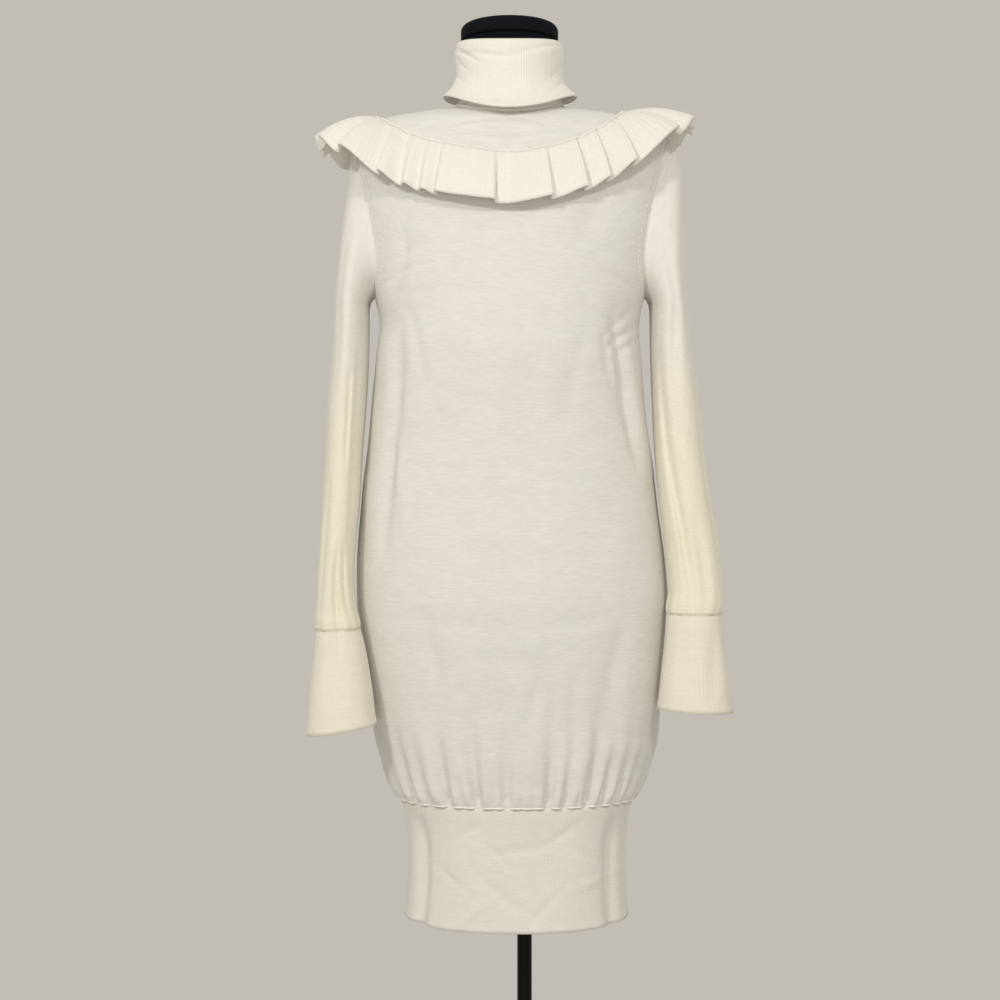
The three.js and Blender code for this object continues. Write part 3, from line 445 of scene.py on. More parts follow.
# Pleats: where each starts in degrees, the share of it that rises, and its height
PLEATS = table("start crest depth",
               (-107, 0.62, 7.5), (-96, 0.62, 7.5), (-86, 0.84, 7.5), (-78, 0.84, 7),
               (-70, 0.80, 6.5), (-55.9, 0.80, 5.5), (-45.3, 0.62, 4.5), (-36.5, 0.62, 4),
               (-28, 0.88, 4.5), (-3.4, 0.90, 4.6), (14.3, 0.90, 5), (28.9, 0.88, 5.4),
               (41, 0.90, 6), (57, 0.88, 6.5), (72.8, 0.70, 6), (82, 0.62, 7), (92, 0.62, 7))
CENTRE_PLEAT = 8
BACK_PLEATS = dict(first=104, last=253, count=13, crest=0.66, depth=6.4)
RUFFLE_RIB = 3.1


# Value for the side an angle lies on, right where x is positive
def sided(angles, values):
    return np.where(np.sin(angles) > 0, values["right"], values["left"])


def pleat_rows():
    rows = list(zip(*PLEATS.values()))
    pitch = (BACK_PLEATS["last"] - BACK_PLEATS["first"]) / BACK_PLEATS["count"]
    for i in range(BACK_PLEATS["count"]):
        rows.append((BACK_PLEATS["first"] + pitch * i + 1.3 * math.sin(5.1 * i),
                     BACK_PLEATS["crest"] + 0.1 * math.sin(2.3 * i),
                     BACK_PLEATS["depth"] + 0.6 * math.sin(1.7 * i)))
    return np.array(rows)


# Level of the ruffle's seam: a depth below the neckline, measured on the cloth
def yoke_line_levels(angles):
    wanted = around(angles, YOKE_DEPTH["front"], sided(angles, YOKE_DEPTH), YOKE_DEPTH["back"])
    levels = np.linspace(1, 0.1, 121)
    points = body_point(angles[None, :], levels[:, None])
    lengths = np.cumsum(np.linalg.norm(np.diff(points, axis=0), axis=-1), axis=0)
    lengths = np.concatenate([np.zeros((1, len(angles))), lengths])
    return np.array([np.interp(wanted[i], lengths[:, i], levels) for i in range(len(angles))])


# Height and sideways shift of the pleats round the ruffle
def pleat_wave(angles):
    starts, crest, depth = pleat_rows().T
    starts = np.radians(starts)
    turned = starts[0] + np.mod(angles - starts[0], TAU)
    i = np.clip(np.searchsorted(starts, turned, side="right") - 1, 0, len(starts) - 1)
    ends = np.append(starts[1:], starts[0] + TAU)
    share = (turned - starts[i]) / (ends[i] - starts[i])
    right = (starts[i] > math.radians(-12)) & (starts[i] < math.pi)
    outward = np.where(right, 1.0, -1.0)
    crest, depth = crest[i], depth[i]
    s = np.where(right, share, 1 - share)
    warped = np.where(s < crest, 0.5 * s / crest, 0.5 + 0.5 * (s - crest) / (1 - crest))
    swing = -np.cos(TAU * warped)
    sharp = soft_step(crest, 0.6, 0.9)
    slide = outward * sharp * (bump(s, crest, 0.08) - bump(s, 1.0, 0.06) - bump(s, 0.0, 0.06))
    centre = i == CENTRE_PLEAT
    plateau = 2 * soft_step(np.minimum(share, 1 - share), 0, 0.1) - 1
    lap = bump(share, 0.93, 0.06) - bump(share, 0.07, 0.06) - bump(share, 1, 0.05) + bump(share, 0, 0.05)
    return np.where(centre, plateau, swing) * depth, np.where(centre, lap, slide)


def degrees_away(angles):
    return np.degrees(np.arccos(np.minimum(1, np.abs(np.cos(angles)))))


# Value that turns from the front's to the side's where the strip leaves the shoulder
def flared(angles, values):
    low, high, side = (sided(angles, t) for t in (RUFFLE_LEAVES, RUFFLE_FREE, values))
    return values["front"] + (side - values["front"]) * soft_step(degrees_away(angles), low, high)


def ruffle_grid(angles, downs):
    levels = yoke_line_levels(angles)
    seam = body_point(angles, levels)
    normal = surface_normal(body_point, angles, levels)
    along = unit(np.roll(seam, -1, axis=0) - np.roll(seam, 1, axis=0))
    outward = -unit(stack(-along[:, 1], along[:, 0], 0.0))
    reach, drop, arch = (flared(angles, t) for t in (RUFFLE_OUT, RUFFLE_DROP, RUFFLE_ARCH))
    swing, slide = pleat_wave(angles)
    push = bump(degrees_away(angles), RUFFLE_PUSH["middle"], RUFFLE_PUSH["width"])
    push = sided(angles, RUFFLE_PUSH) * push
    fall = outward * reach[:, None] + stack(0.0, -np.sign(np.cos(angles)) * push, -drop)
    face = unit(np.cross(along, fall))
    face = face * np.sign(np.sum(face * normal, axis=-1, keepdims=True))
    lengths = np.concatenate([[0], np.cumsum(np.linalg.norm(np.diff(seam, axis=0), axis=-1))])
    rib = 0.26 * np.cos(TAU * lengths * round(lengths[-1] * 1.35 / RUFFLE_RIB) / lengths[-1])
    ripple = 0.6 * np.sin(lengths / 6.1) * np.sin(lengths / 17.3)
    grid = []
    for down in downs:
        size = 0.16 + 0.84 * down**0.9
        curl = 1.0 * bump(down, 1.0, 0.12)
        offset = 4 * arch * down * (1 - down) + swing * size + ripple * down + rib + curl
        row = seam + normal * RUFFLE_LIFT + fall * down + face * offset[:, None]
        grid.append(row + along * (slide * 3.0 * down**0.8)[:, None])
    return np.array(grid)


# Collar: 0 to 1 up the inside, 1 to 2 over the fold, 2 to 3 down the outside

COLLAR_INNER_HALF = 52.05
COLLAR_FOLD = dict(front=1459, side=1466, back=1468)
COLLAR_FOLD_RADIUS = 3
COLLAR_EDGE = dict(front=1385, side=1411, back=1416)
COLLAR_FALL = table("share half", (0, 58.0), (0.12, 59.2), (0.36, 57.9), (0.58, 57.8),
                    (0.72, 60.2), (0.86, 65.0), (1.0, 73.0))
COLLAR_CREASES = table("angle share tilt length width depth",
                       (-58, 0.18, 0.55, 22, 0.045, 3.0), (-70, 0.33, 0.8, 16, 0.04, 2.4),
                       (-20, 0.2, 0.1, 36, 0.05, 1.8), (24, 0.12, -0.25, 34, 0.05, 1.6),
                       (64, 0.5, -0.7, 18, 0.04, 1.0), (-66, 0.66, 0.4, 16, 0.04, 1.1),
                       (60, 0.78, -0.5, 18, 0.04, 0.8), (150, 0.3, 0.3, 30, 0.04, 0.9),
                       (-140, 0.55, -0.4, 30, 0.04, 0.9))


def collar_point(angle, path):
    angle, path = np.broadcast_arrays(np.asarray(angle, float), np.asarray(path, float))
    fold_z, edge_z = around(angle, **COLLAR_FOLD), around(angle, **COLLAR_EDGE)
    base = yoke_point(CLOTH_YOKE, angle, 1)
    rise = np.clip(path, -0.05, 1)
    z = base[..., 2] + 1.4 + (fold_z - base[..., 2] - 1.4) * rise
    spread = np.maximum(0, 1 - rise * 4) ** 1.5
    inner = neck_oval(angle, COLLAR_INNER_HALF, z)
    inner[..., :2] += (base - inner)[..., :2] * spread[..., None]
    top_half = COLLAR_FALL["half"][0]
    bend = math.pi * np.clip(path - 1, 0, 1)
    across = (top_half - COLLAR_INNER_HALF) / 2
    over = neck_oval(angle, (COLLAR_INNER_HALF + top_half) / 2 - across * np.cos(bend),
                     fold_z + COLLAR_FOLD_RADIUS * np.sin(bend))
    share = np.clip(path - 2, 0, 1.02)
    pressed = crease_depth(COLLAR_CREASES, angle, share, 0.01)
    pressed = pressed * soft_step(share, 0, 0.08) * (1 - soft_step(share, 0.9, 1.0))
    half = smooth_value(COLLAR_FALL, "share", "half", share) - pressed
    flare = 4 * share**3 * np.maximum(0, np.cos(angle))
    wave = 0.8 * share**3 * np.sin(5 * angle + 0.7)
    outer = neck_oval(angle, half + wave, fold_z + (edge_z - fold_z) * share, flare)
    return np.where((path <= 1)[..., None], inner, np.where((path <= 2)[..., None], over, outer))


def neck_oval(angle, half, z, flare=0.0):
    return stack(NECK_MIDDLE + half * np.sin(angle), NECK_Y - (half + flare) * np.cos(angle), z)


# Hem band

BAND_GROOVES = table("turn depth", (-57, 6.5), (55, 6), (-126, 5), (122, 5.5))
BAND_GROOVE_WIDTH = math.radians(6)
BAND_CREASES = table("angle z tilt length width depth",
                     (2, 603, 0.25, 13, 2.6, 1.9), (-8, 598, -2.2, 6, 3.4, 1.6),
                     (-34, 572, -1.1, 10, 3.2, 1.8), (38, 566, 0.35, 8, 3.0, -1.9),
                     (20, 618, 1.2, 9, 3.5, 1.6), (-22, 622, 0.9, 8, 3.0, 1.5),
                     (34, 596, -0.9, 8, 3.0, 1.6), (-6, 556, -1.8, 12, 5.0, 1.8),
                     (-18, 540, 1.5, 9, 5.0, -1.4), (12, 545, 2.0, 8, 5.0, 1.4),
                     (160, 590, 0.4, 10, 4.0, 1.6), (200, 570, -0.5, 12, 4.0, 1.7))
HEM_DIP = 5.0
BAND_TOP_Z = 645.7
HEM_Z = 519.0


def band_point(angle, z):
    angle, z = np.broadcast_arrays(np.asarray(angle, float), np.asarray(z, float))
    point = section_point(BAND, angle, z)
    share = (BAND_TOP_Z - z) / (BAND_TOP_Z - HEM_Z)
    turned = np.where(angle > math.pi, angle - TAU, angle)
    pressed = 0
    for turn, deep in zip(*BAND_GROOVES.values()):
        groove = bump(turned, math.radians(turn), BAND_GROOVE_WIDTH)
        pressed = pressed + deep * soft_step(share, 0, 0.35) * groove
    pressed = pressed + crease_depth(BAND_CREASES, angle, z, 1)
    pressed = pressed + 1.1 * np.sin(turned * 7 + 1) * np.sin(math.pi * share) * soft_step(share, 0, 0.3)
    forward = np.maximum(0, np.cos(angle))
    point = point - level_direction(angle) * pressed[..., None]
    point[..., 2] -= HEM_DIP * forward * share
    return point


# Meshes

def grid_normals(grid, wrap):
    if wrap:
        along = np.roll(grid, -1, axis=1) - np.roll(grid, 1, axis=1)
    else:
        along = np.gradient(grid, axis=1)
    normals = unit(np.cross(along, np.gradient(grid, axis=0)))
    last = grid[-1] - grid[-1].mean(axis=0)
    return normals * np.sign(np.sum(normals[-1] * last))


def build_object(name, points, quads, uvs):
    flat = points.reshape(-1, 3) * MM
    corner = flat[quads]
    volume = np.sum(np.cross(corner[:, 0], corner[:, 1]) * corner[:, 2])
    volume += np.sum(np.cross(corner[:, 0], corner[:, 2]) * corner[:, 3])
    if volume < 0:
        quads = quads[:, ::-1]
        uvs = uvs[:, ::-1]
    mesh = bpy.data.meshes.new(name)
    mesh.from_pydata(flat.tolist(), [], quads.tolist())
    layer = mesh.uv_layers.new(name="UVMap")
    layer.data.foreach_set("uv", (uvs * MM).reshape(-1))
    mesh.polygons.foreach_set("use_smooth", [True] * len(mesh.polygons))
    mesh.update()
    piece = bpy.data.objects.new(name, mesh)
    bpy.context.scene.collection.objects.link(piece)
    return piece


# Lengths over the cloth from the middle column, or round a tube, and up from the first row
def spacing(grid, wrap):
    across = np.linalg.norm(np.diff(grid, axis=1), axis=-1)
    up = np.linalg.norm(np.diff(grid, axis=0), axis=-1)
    if wrap:
        closing = np.linalg.norm(grid[:, :1] - grid[:, -1:], axis=-1)
        across = np.concatenate([across, closing], axis=1)
        across = np.broadcast_to(across.max(axis=0), across.shape)
    u = np.cumsum(np.insert(across, 0, 0, axis=1), axis=1)
    if not wrap:
        u = u - u[:, u.shape[1] // 2, None]
    return u, np.concatenate([[0], np.cumsum(up.mean(axis=1) if wrap else up.min(axis=1))])


# Closed wall of cloth between a grid of points and its copy moved inward
def wall_object(name, grid, thick, wrap=False, out=0.0):
    normals = grid_normals(grid, wrap)
    points = np.stack([grid + normals * out, grid - normals * (thick - out)])
    rows, columns = grid.shape[:2]
    u, v = spacing(grid, wrap)
    quads, uvs = [], []

    # Faces whose corners are each a row, a column and 0 on the outer or 1 on the inner face
    def add(turned, *corners):
        step = -1 if turned else 1
        face = [(inner * rows + r) * columns + c % columns for r, c, inner in corners]
        face_uv = [np.stack([u[r, c], v[r]], axis=-1) for r, c, inner in corners]
        quads.append(np.stack(face, axis=1)[:, ::step])
        uvs.append(np.stack(face_uv, axis=1)[:, ::step])

    r, c = np.indices((rows - 1, columns if wrap else columns - 1)).reshape(2, -1)
    for inner in (0, 1):
        add(inner, (r, c, inner), (r, c + 1, inner), (r + 1, c + 1, inner), (r + 1, c, inner))
    c = c[r == 0]
    for row in (0, rows - 1):
        edge = row + 0 * c
        add(row, (edge, c, 0), (edge, c, 1), (edge, c + 1, 1), (edge, c + 1, 0))
    if not wrap:
        r = np.arange(rows - 1)
        for column in (0, columns - 1):
            edge = column + 0 * r
            add(not column, (r, edge, 0), (r, edge, 1), (r + 1, edge, 1), (r + 1, edge, 0))
    return build_object(name, points, np.concatenate(quads), np.concatenate(uvs))


# Faces between closed rings of points
def ring_quads(rows, columns):
    r, c = np.indices((rows - 1, columns)).reshape(2, -1)
    after = (c + 1) % columns
    return np.stack([r * columns + c, r * columns + after, (r + 1) * columns + after,
                     (r + 1) * columns + c], axis=1)


# Faces that close a ring of points, from its first point on
def cap_quads(start, columns):
    i = np.arange(columns // 2 - 1)
    return np.stack([start + i, start + columns - 1 - i, start + columns - 2 - i, start + i + 1], axis=1)


# Solid through rings of points, with flat ends
def solid_object(name, rings):
    rows, columns = rings.shape[:2]
    quads = [ring_quads(rows, columns)]
    c = np.arange(columns)
    after = (c + 1) % columns
    first, last = rows * columns, rows * columns + columns
    ends = np.stack([(ring + ring.mean(axis=0)) * 0.5 for ring in (rings[0], rings[-1])])
    quads.append(np.stack([c, first + c, first + after, after], axis=1))
    top = (rows - 1) * columns
    quads.append(np.stack([top + c, top + after, last + after, last + c], axis=1))
    quads.append(cap_quads(first, columns))
    quads.append(cap_quads(last, columns)[:, [0, 3, 2, 1]])
    points = np.concatenate([rings.reshape(-1, 3), ends.reshape(-1, 3)])
    quads = np.concatenate(quads)
    corner = points[quads]
    lengths = np.arctan2(corner[..., 0] - NECK_MIDDLE, -corner[..., 1]) * FORM_MEAN_RADIUS
    uvs = np.stack([lengths, corner[..., 2]], axis=-1)
    return build_object(name, points, quads, uvs)


# Round roll of thread along a closed line, with its radius at each point
def roll_object(name, line, radius):
    along = unit(np.roll(line, -1, axis=0) - np.roll(line, 1, axis=0))
    across = unit(np.cross(along, np.array([0.0, 0.0, 1.0])))
    lift = np.cross(across, along)
    turns = full_turn(ROLL_SIDES)
    size = (np.zeros(len(line)) + radius)[:, None, None]
    rings = (line[:, None] + size * (across[:, None] * np.cos(turns)[None, :, None]
                                     + lift[:, None] * np.sin(turns)[None, :, None]))
    count = len(line)
    quads = ring_quads(count + 1, ROLL_SIDES) % (count * ROLL_SIDES)
    place = np.stack([quads[:, 0] // ROLL_SIDES, quads[:, 0] % ROLL_SIDES], axis=-1) * 1.0
    uvs = np.stack([place] * 4, axis=1)
    return build_object(name, rings, quads, uvs)


def level_outward(grid):
    return unit((grid - grid.mean(axis=1, keepdims=True)) * np.array([1, 1, 0.0]))


def grid_area(grid, wrap):
    if wrap:
        grid = np.concatenate([grid, grid[:, :1]], axis=1)
    a = grid[1:, 1:] - grid[:-1, :-1]
    b = grid[1:, :-1] - grid[:-1, 1:]
    return float(np.sum(np.linalg.norm(np.cross(a, b), axis=-1)) / 2 * MM * MM)


# Pieces

COLUMNS_PER_RIB = 4
CUFF_RIBS = 72
CUFF_ROWS = 22
BAND_RIBS = 100
BAND_ROWS = 34
COLLAR_RIBS = 128
COLLAR_ROWS = 46
RIB_RELIEF = 0.2
BAND_RELIEF = 0.09
RUFFLE_COLUMNS = 1440
RUFFLE_ROWS = 17
FORM_COLUMNS = 96
CAP_ROUND = 7.0
NECK_SEAM_STEPS = 160
ARMHOLE_SEAM_STEPS = 240
FORM_MEAN_RADIUS = 150
ROLL_SIDES = 6
SEAM_ROLLS = dict(cuff=0.5, ruffle=0.9, armhole=0.8, neck=1.7)
MARK_COUNT = 22
MARK_INSET = 0.085
MARK_LENGTH = 5.5


def make_panel(name, middle, surface, columns, rows):
    angles, levels = panel_grid(middle, columns, *rows)
    grid = surface(angles, levels)
    piece = wall_object(name, grid, KNIT_WALL)
    round(grid_area(grid, False), 4)
    return piece, grid, angles


def make_sleeve(name, sleeve, columns, rows):
    turns = -sleeve["side"] * np.arange(columns) / columns
    ways = np.concatenate([np.linspace(0, 1, rows[0], endpoint=False),
                           np.linspace(1, sleeve_way(sleeve, sleeve["seam_z"] + 2 * SEAM_GAP), rows[1])])
    grid = sleeve_point(sleeve, turns[None, :], ways[:, None])
    height = grid[..., 2] - sleeve["seam_z"]
    out = level_outward(grid)
    puff = 1.3 * bump(height, 9, 9) - 0.2 * bump(height, 0, 4)
    phase = turns[None, :] * TAU
    gathers = 1.1 * np.sin(9 * phase + 1) * np.sin(4 * phase) * np.exp(-np.maximum(height, 0) / 34)
    grid = grid + out * (puff + gathers)[..., None]
    piece = wall_object(name, grid, KNIT_WALL, wrap=True)
    return piece


def make_cuff(label, sleeve):
    count = CUFF_RIBS * COLUMNS_PER_RIB
    turns = -sleeve["side"] * np.arange(count) / count
    ways = np.linspace(sleeve_way(sleeve, sleeve["seam_z"] - SEAM_GAP), 2, CUFF_ROWS)
    grid = sleeve_point(sleeve, turns[None, :], ways[:, None])
    out = level_outward(grid)
    rib = RIB_RELIEF * np.cos(TAU * CUFF_RIBS * turns)[None, :]
    share = np.linspace(0, 1, CUFF_ROWS)[:, None]
    roll = 0.8 * bump(share, 0.97, 0.05) - 0.2 * bump(share, 0, 0.05)
    grid = grid + out * (rib + roll)[..., None]
    piece = wall_object("cuff_" + label + "_rib", grid, RIB_WALL, wrap=True)
    return piece, grid


def make_band(name, middle):
    count = BAND_RIBS * COLUMNS_PER_RIB + 1
    reach = QUARTER - np.arcsin((SEAM_GAP / BODY["front"][0]) ** (1 / ROUNDNESS))
    share = np.linspace(-1, 1, count)
    angles = middle + reach * share
    heights = np.linspace(BAND_TOP_Z, HEM_Z, BAND_ROWS)
    grid = band_point(angles[None, :], heights[:, None])
    down = np.linspace(0, 1, BAND_ROWS)[:, None]
    rib = BAND_RELIEF * np.cos(TAU * BAND_RIBS * share / 2)[None, :] * soft_step(down, 0, 0.04)
    pull = -1.2 * bump(down, 0, 0.04) + 0.7 * bump(down, 0.985, 0.02)
    grid = grid + level_direction(angles) * (rib + pull)[..., None]
    piece = wall_object(name, grid, RIB_WALL)
    return piece


def make_collar():
    count = COLLAR_RIBS * COLUMNS_PER_RIB
    angles = full_turn(count)
    paths = np.concatenate([np.linspace(0, 1, 9, endpoint=False), np.linspace(1, 2, 8, endpoint=False),
                            np.linspace(2, 3, COLLAR_ROWS)])
    grid = collar_point(angles[None, :], paths[:, None])
    normals = grid_normals(grid, True)
    rib = 0.22 * np.cos(COLLAR_RIBS * angles)[None, :] * soft_step(paths[:, None], 1.2, 2.1)
    roll = 0.5 * bump(paths[:, None], 2.985, 0.02)
    grid = grid + normals * (rib + roll)[..., None]
    piece = wall_object("collar_knit", grid, RIB_WALL, wrap=True, out=RIB_WALL / 2)
    return piece


def make_ruffle():
    angles = full_turn(RUFFLE_COLUMNS)
    grid = ruffle_grid(angles, np.linspace(0, 1, RUFFLE_ROWS))
    piece = wall_object("ruffle_knit", grid, RUFFLE_WALL, wrap=True, out=RUFFLE_WALL / 2)
    return piece, grid


def make_form():
    angles = full_turn(FORM_COLUMNS)
    low = [section_point(FORM, angles, z) for z in np.linspace(FORM_BOTTOM_Z, CHEST_Z, 60)]
    yoke = [yoke_point(FORM_YOKE, angles, s) for s in np.linspace(0, 1, 50)[1:]]
    neck = [neck_oval(angles, NECK_RADIUS, z) for z in (1432, NECK_TOP_Z)]
    return solid_object("form_torso_skin", np.array(low + yoke + neck))


def make_cap():
    angles = full_turn(FORM_COLUMNS)
    low = NECK_TOP_Z + 0.3
    edge = [(CAP_RADIUS - 1.2, low), (CAP_RADIUS, low + 1.2)]
    edge += [(CAP_RADIUS - CAP_ROUND * (1 - math.cos(t)), CAP_TOP_Z - CAP_ROUND * (1 - math.sin(t)))
             for t in np.linspace(0, QUARTER, 6)]
    return solid_object("neck_cap_skin", np.array([neck_oval(angles, r, z) for r, z in edge]))


# Short raised stitches beside each armhole, where the knitting narrows
def make_marks(name, surface, side, front):
    stitches = []
    facing = 1 if front else -1
    for i in range(MARK_COUNT):
        angle, level = armhole_place(0.06 + 0.34 * i / (MARK_COUNT - 1))
        middle = side * (angle - MARK_INSET)
        middle = middle if front else math.pi - middle
        point = surface(middle, level)
        normal = surface_normal(surface, middle, level)
        along = unit(surface(middle + 0.01, level) - point)
        up = np.cross(normal, along)
        lean = unit(along * 0.8 * facing * side + up)
        across = np.cross(normal, lean)
        ring = full_turn(ROLL_SIDES)
        rows = []
        for share in np.linspace(0, 1, 5):
            size = 0.15 + 0.75 * math.sin(math.pi * share)
            middle_point = point + lean * (share - 0.5) * MARK_LENGTH + normal * 0.25
            rows.append(middle_point + (across[None] * np.cos(ring)[:, None] * size
                                        + normal[None] * np.sin(ring)[:, None] * size * 0.7))
        stitches.append(np.array(rows))
    return merged_object(name, stitches)


def merged_object(name, solids):
    points, quads, base = [], [], 0
    for rings in solids:
        rows, columns = rings.shape[:2]
        quads.append(base + ring_quads(rows, columns))
        quads.append(base + cap_quads(0, columns))
        quads.append(base + cap_quads((rows - 1) * columns, columns)[:, ::-1])
        points.append(rings.reshape(-1, 3))
        base += rows * columns
    points, quads = np.concatenate(points), np.concatenate(quads)
    uvs = points[quads][..., [0, 2]]
    return build_object(name, points, quads, uvs)


# Materials

KNIT_SURFACE = {"Roughness": 0.86, "Sheen Weight": 0.35, "Sheen Roughness": 0.5, "Specular IOR Level": 0.22}
NOISE_ROUGHNESS = 0.55
BUMP_STRENGTH = 0.55
BUMP_HEIGHT = 0.0007
JERSEY_STITCH = 0.0021
RIB_STITCH = 0.0015


# Knit: fine columns of stitches, slubs drawn out along the rows, soft fibre sheen
def knit_material(name, colour, shade, column, slub, upper=None):
    material = bpy.data.materials.new(name)
    material.use_nodes = True
    tree = material.node_tree
    shader = tree.nodes["Principled BSDF"]
    for socket, value in KNIT_SURFACE.items():
        shader.inputs[socket].default_value = value
    place = tree.nodes.new("ShaderNodeUVMap")
    place.uv_map = "UVMap"

    def placed(kind, scale_u=1, scale_v=1):
        mapping = tree.nodes.new("ShaderNodeMapping")
        mapping.inputs["Scale"].default_value = (scale_u, scale_v, 1)
        texture = tree.nodes.new(kind)
        tree.links.new(place.outputs["UV"], mapping.inputs["Vector"])
        tree.links.new(mapping.outputs["Vector"], texture.inputs["Vector"])
        return texture

    def stretched(scale_u, scale_v, detail):
        noise = placed("ShaderNodeTexNoise", scale_u, scale_v)
        noise.inputs["Scale"].default_value = 1.0
        noise.inputs["Detail"].default_value = detail
        noise.inputs["Roughness"].default_value = NOISE_ROUGHNESS
        return noise.outputs["Fac"]

    def wave(direction, pitch, distortion):
        bands = placed("ShaderNodeTexWave")
        bands.wave_type = "BANDS"
        bands.bands_direction = direction
        bands.inputs["Scale"].default_value = math.pi / (10 * pitch)
        bands.inputs["Distortion"].default_value = distortion
        bands.inputs["Detail"].default_value = 1
        return bands.outputs["Fac"]

    def mixed(a, b, share):
        mix = tree.nodes.new("ShaderNodeMix")
        mix.inputs["Factor"].default_value = share
        tree.links.new(a, mix.inputs["A"])
        tree.links.new(b, mix.inputs["B"])
        return mix.outputs["Result"]

    streaks = stretched(75, 520, 4)
    broad = stretched(24, 70, 3)
    grain = stretched(900, 900, 2)
    cloudy = mixed(streaks, broad, 0.3)

    def ramped(dark, light):
        ramp = tree.nodes.new("ShaderNodeValToRGB")
        ramp.color_ramp.elements[0].position = 0.5 - slub
        ramp.color_ramp.elements[1].position = 0.5 + slub
        ramp.color_ramp.elements[0].color = (*dark, 1)
        ramp.color_ramp.elements[1].color = (*light, 1)
        tree.links.new(cloudy, ramp.inputs["Fac"])
        return ramp.outputs["Color"]

    # Colour blended by height. On the sleeve this is painted light: a warm-lit cream low down and a greyer
    # white at the top.
    def painted_light_by_height(low, high):
        where = tree.nodes.new("ShaderNodeTexCoord")
        split = tree.nodes.new("ShaderNodeSeparateXYZ")
        share = tree.nodes.new("ShaderNodeMapRange")
        share.interpolation_type = "SMOOTHSTEP"
        share.inputs["From Min"].default_value = upper["low"]
        share.inputs["From Max"].default_value = upper["high"]
        mix = tree.nodes.new("ShaderNodeMix")
        mix.data_type = "RGBA"
        tree.links.new(where.outputs["Object"], split.inputs["Vector"])
        tree.links.new(split.outputs["Z"], share.inputs["Value"])
        tree.links.new(share.outputs["Result"], mix.inputs["Factor"])
        tree.links.new(low, mix.inputs[6])
        tree.links.new(high, mix.inputs[7])
        return mix.outputs[2]

    base = ramped(shade, colour)
    if upper:
        base = painted_light_by_height(base, ramped(upper["shade"], upper["colour"]))
    tree.links.new(base, shader.inputs["Base Color"])
    relief = mixed(mixed(wave("X", column, 1.5), wave("Y", column * 0.8, 2.5), 0.4), grain, 0.35)
    relief = mixed(relief, streaks, 0.45)
    bumped = tree.nodes.new("ShaderNodeBump")
    bumped.inputs["Strength"].default_value = BUMP_STRENGTH
    bumped.inputs["Distance"].default_value = BUMP_HEIGHT
    tree.links.new(relief, bumped.inputs["Height"])
    tree.links.new(bumped.outputs["Normal"], shader.inputs["Normal"])
    return material


def plain_material(name, colour, rough):
    material = bpy.data.materials.new(name)
    material.use_nodes = True
    shader = material.node_tree.nodes["Principled BSDF"]
    shader.inputs["Base Color"].default_value = (*colour, 1)
    shader.inputs["Roughness"].default_value = rough
    shader.inputs["Specular IOR Level"].default_value = 0.15
    return material


def finish_piece(piece, material, slot, *nodes):
    piece.data.materials.append(material)
    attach(piece, "root")
    if nodes:
        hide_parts(*nodes)


# Colour, shade, width of the stitch columns and contrast of the slubs
KNITS = {
    "body_knit_cream": ((0.79, 0.775, 0.735), (0.685, 0.67, 0.63), JERSEY_STITCH, 0.2),
    # Sleeve: the knit's own cream plus painted warm light, yellower low down. From 0.98 m to 1.22 m up it
    # turns to a greyer white with less painted light.
    "sleeve_knit_cream_painted_light": ((0.87, 0.82, 0.68), (0.78, 0.73, 0.59), JERSEY_STITCH, 0.22,
                          dict(colour=(0.84, 0.815, 0.765), shade=(0.74, 0.715, 0.665),
                               low=0.98, high=1.22)),
    "ruffle_rib_cream": ((0.87, 0.84, 0.785), (0.80, 0.77, 0.70), RIB_STITCH, 0.25),
    "cuff_rib_cream": ((0.85, 0.80, 0.69), (0.76, 0.71, 0.60), RIB_STITCH, 0.25),
    "band_rib_cream": ((0.82, 0.78, 0.72), (0.73, 0.69, 0.63), RIB_STITCH, 0.25),
}
CREAM_THREAD = (0.88, 0.85, 0.78)
FORM_BLACK = (0.002, 0.003, 0.006)
STEEL_BLACK = (0.002, 0.002, 0.001)

body_knit, sleeve_knit, rib_knit, cuff_knit, band_knit = (
    knit_material(name, *look) for name, look in KNITS.items())
thread = plain_material("seam_thread_cream", CREAM_THREAD, 0.85)
form_cloth = plain_material("form_cloth_black", FORM_BLACK, 0.8)
black_steel = plain_material("black_steel_satin", STEEL_BLACK, 0.5)

front_surface = panel_surface((hem_angles(FRONT_GATHERS["x"]), FRONT_GATHERS["depth"],
                               FRONT_GATHERS["reach"]), FRONT_FOLDS, CROSS_FOLDS)
back_surface = panel_surface(back_gathers(), BACK_FOLDS, table("x z tilt length width depth"))

front, front_grid, front_angles = make_panel("front_panel_knit", 0.0, front_surface, 200, (150, 44, 28))
back, back_grid, back_angles = make_panel("back_panel_knit", math.pi, back_surface, 150, (110, 34, 20))
finish_piece(front, body_knit, "body_knit", "front_panel")
finish_piece(back, body_knit, "body_knit", "back_panel")
for label, sleeve in SLEEVES.items():
    piece = make_sleeve("sleeve_" + label + "_knit", sleeve, 96, (60, 130))
    finish_piece(piece, sleeve_knit, "sleeve_knit", "sleeve_" + label)
    piece, cuff_grid = make_cuff(label, sleeve)
    finish_piece(piece, cuff_knit, "ribbing", "cuff_" + label)
    seam = roll_object("cuff_seam_" + label, cuff_grid[0] + (0, 0, SEAM_GAP), SEAM_ROLLS["cuff"])
    finish_piece(seam, cuff_knit, "ribbing")

for label, middle in (("front", 0.0), ("back", math.pi)):
    piece = make_band("hem_band_" + label + "_rib", middle)
    finish_piece(piece, band_knit, "ribbing", "hem_band_" + label)
finish_piece(make_collar(), rib_knit, "ribbing", "collar")
ruffle, ruffle_points = make_ruffle()
finish_piece(ruffle, rib_knit, "ribbing", "ruffle")
ruffle_seam = roll_object("ruffle_seam", ruffle_points[0] + (0, 0, 0.8), SEAM_ROLLS["ruffle"])
finish_piece(ruffle_seam, thread, "ribbing")

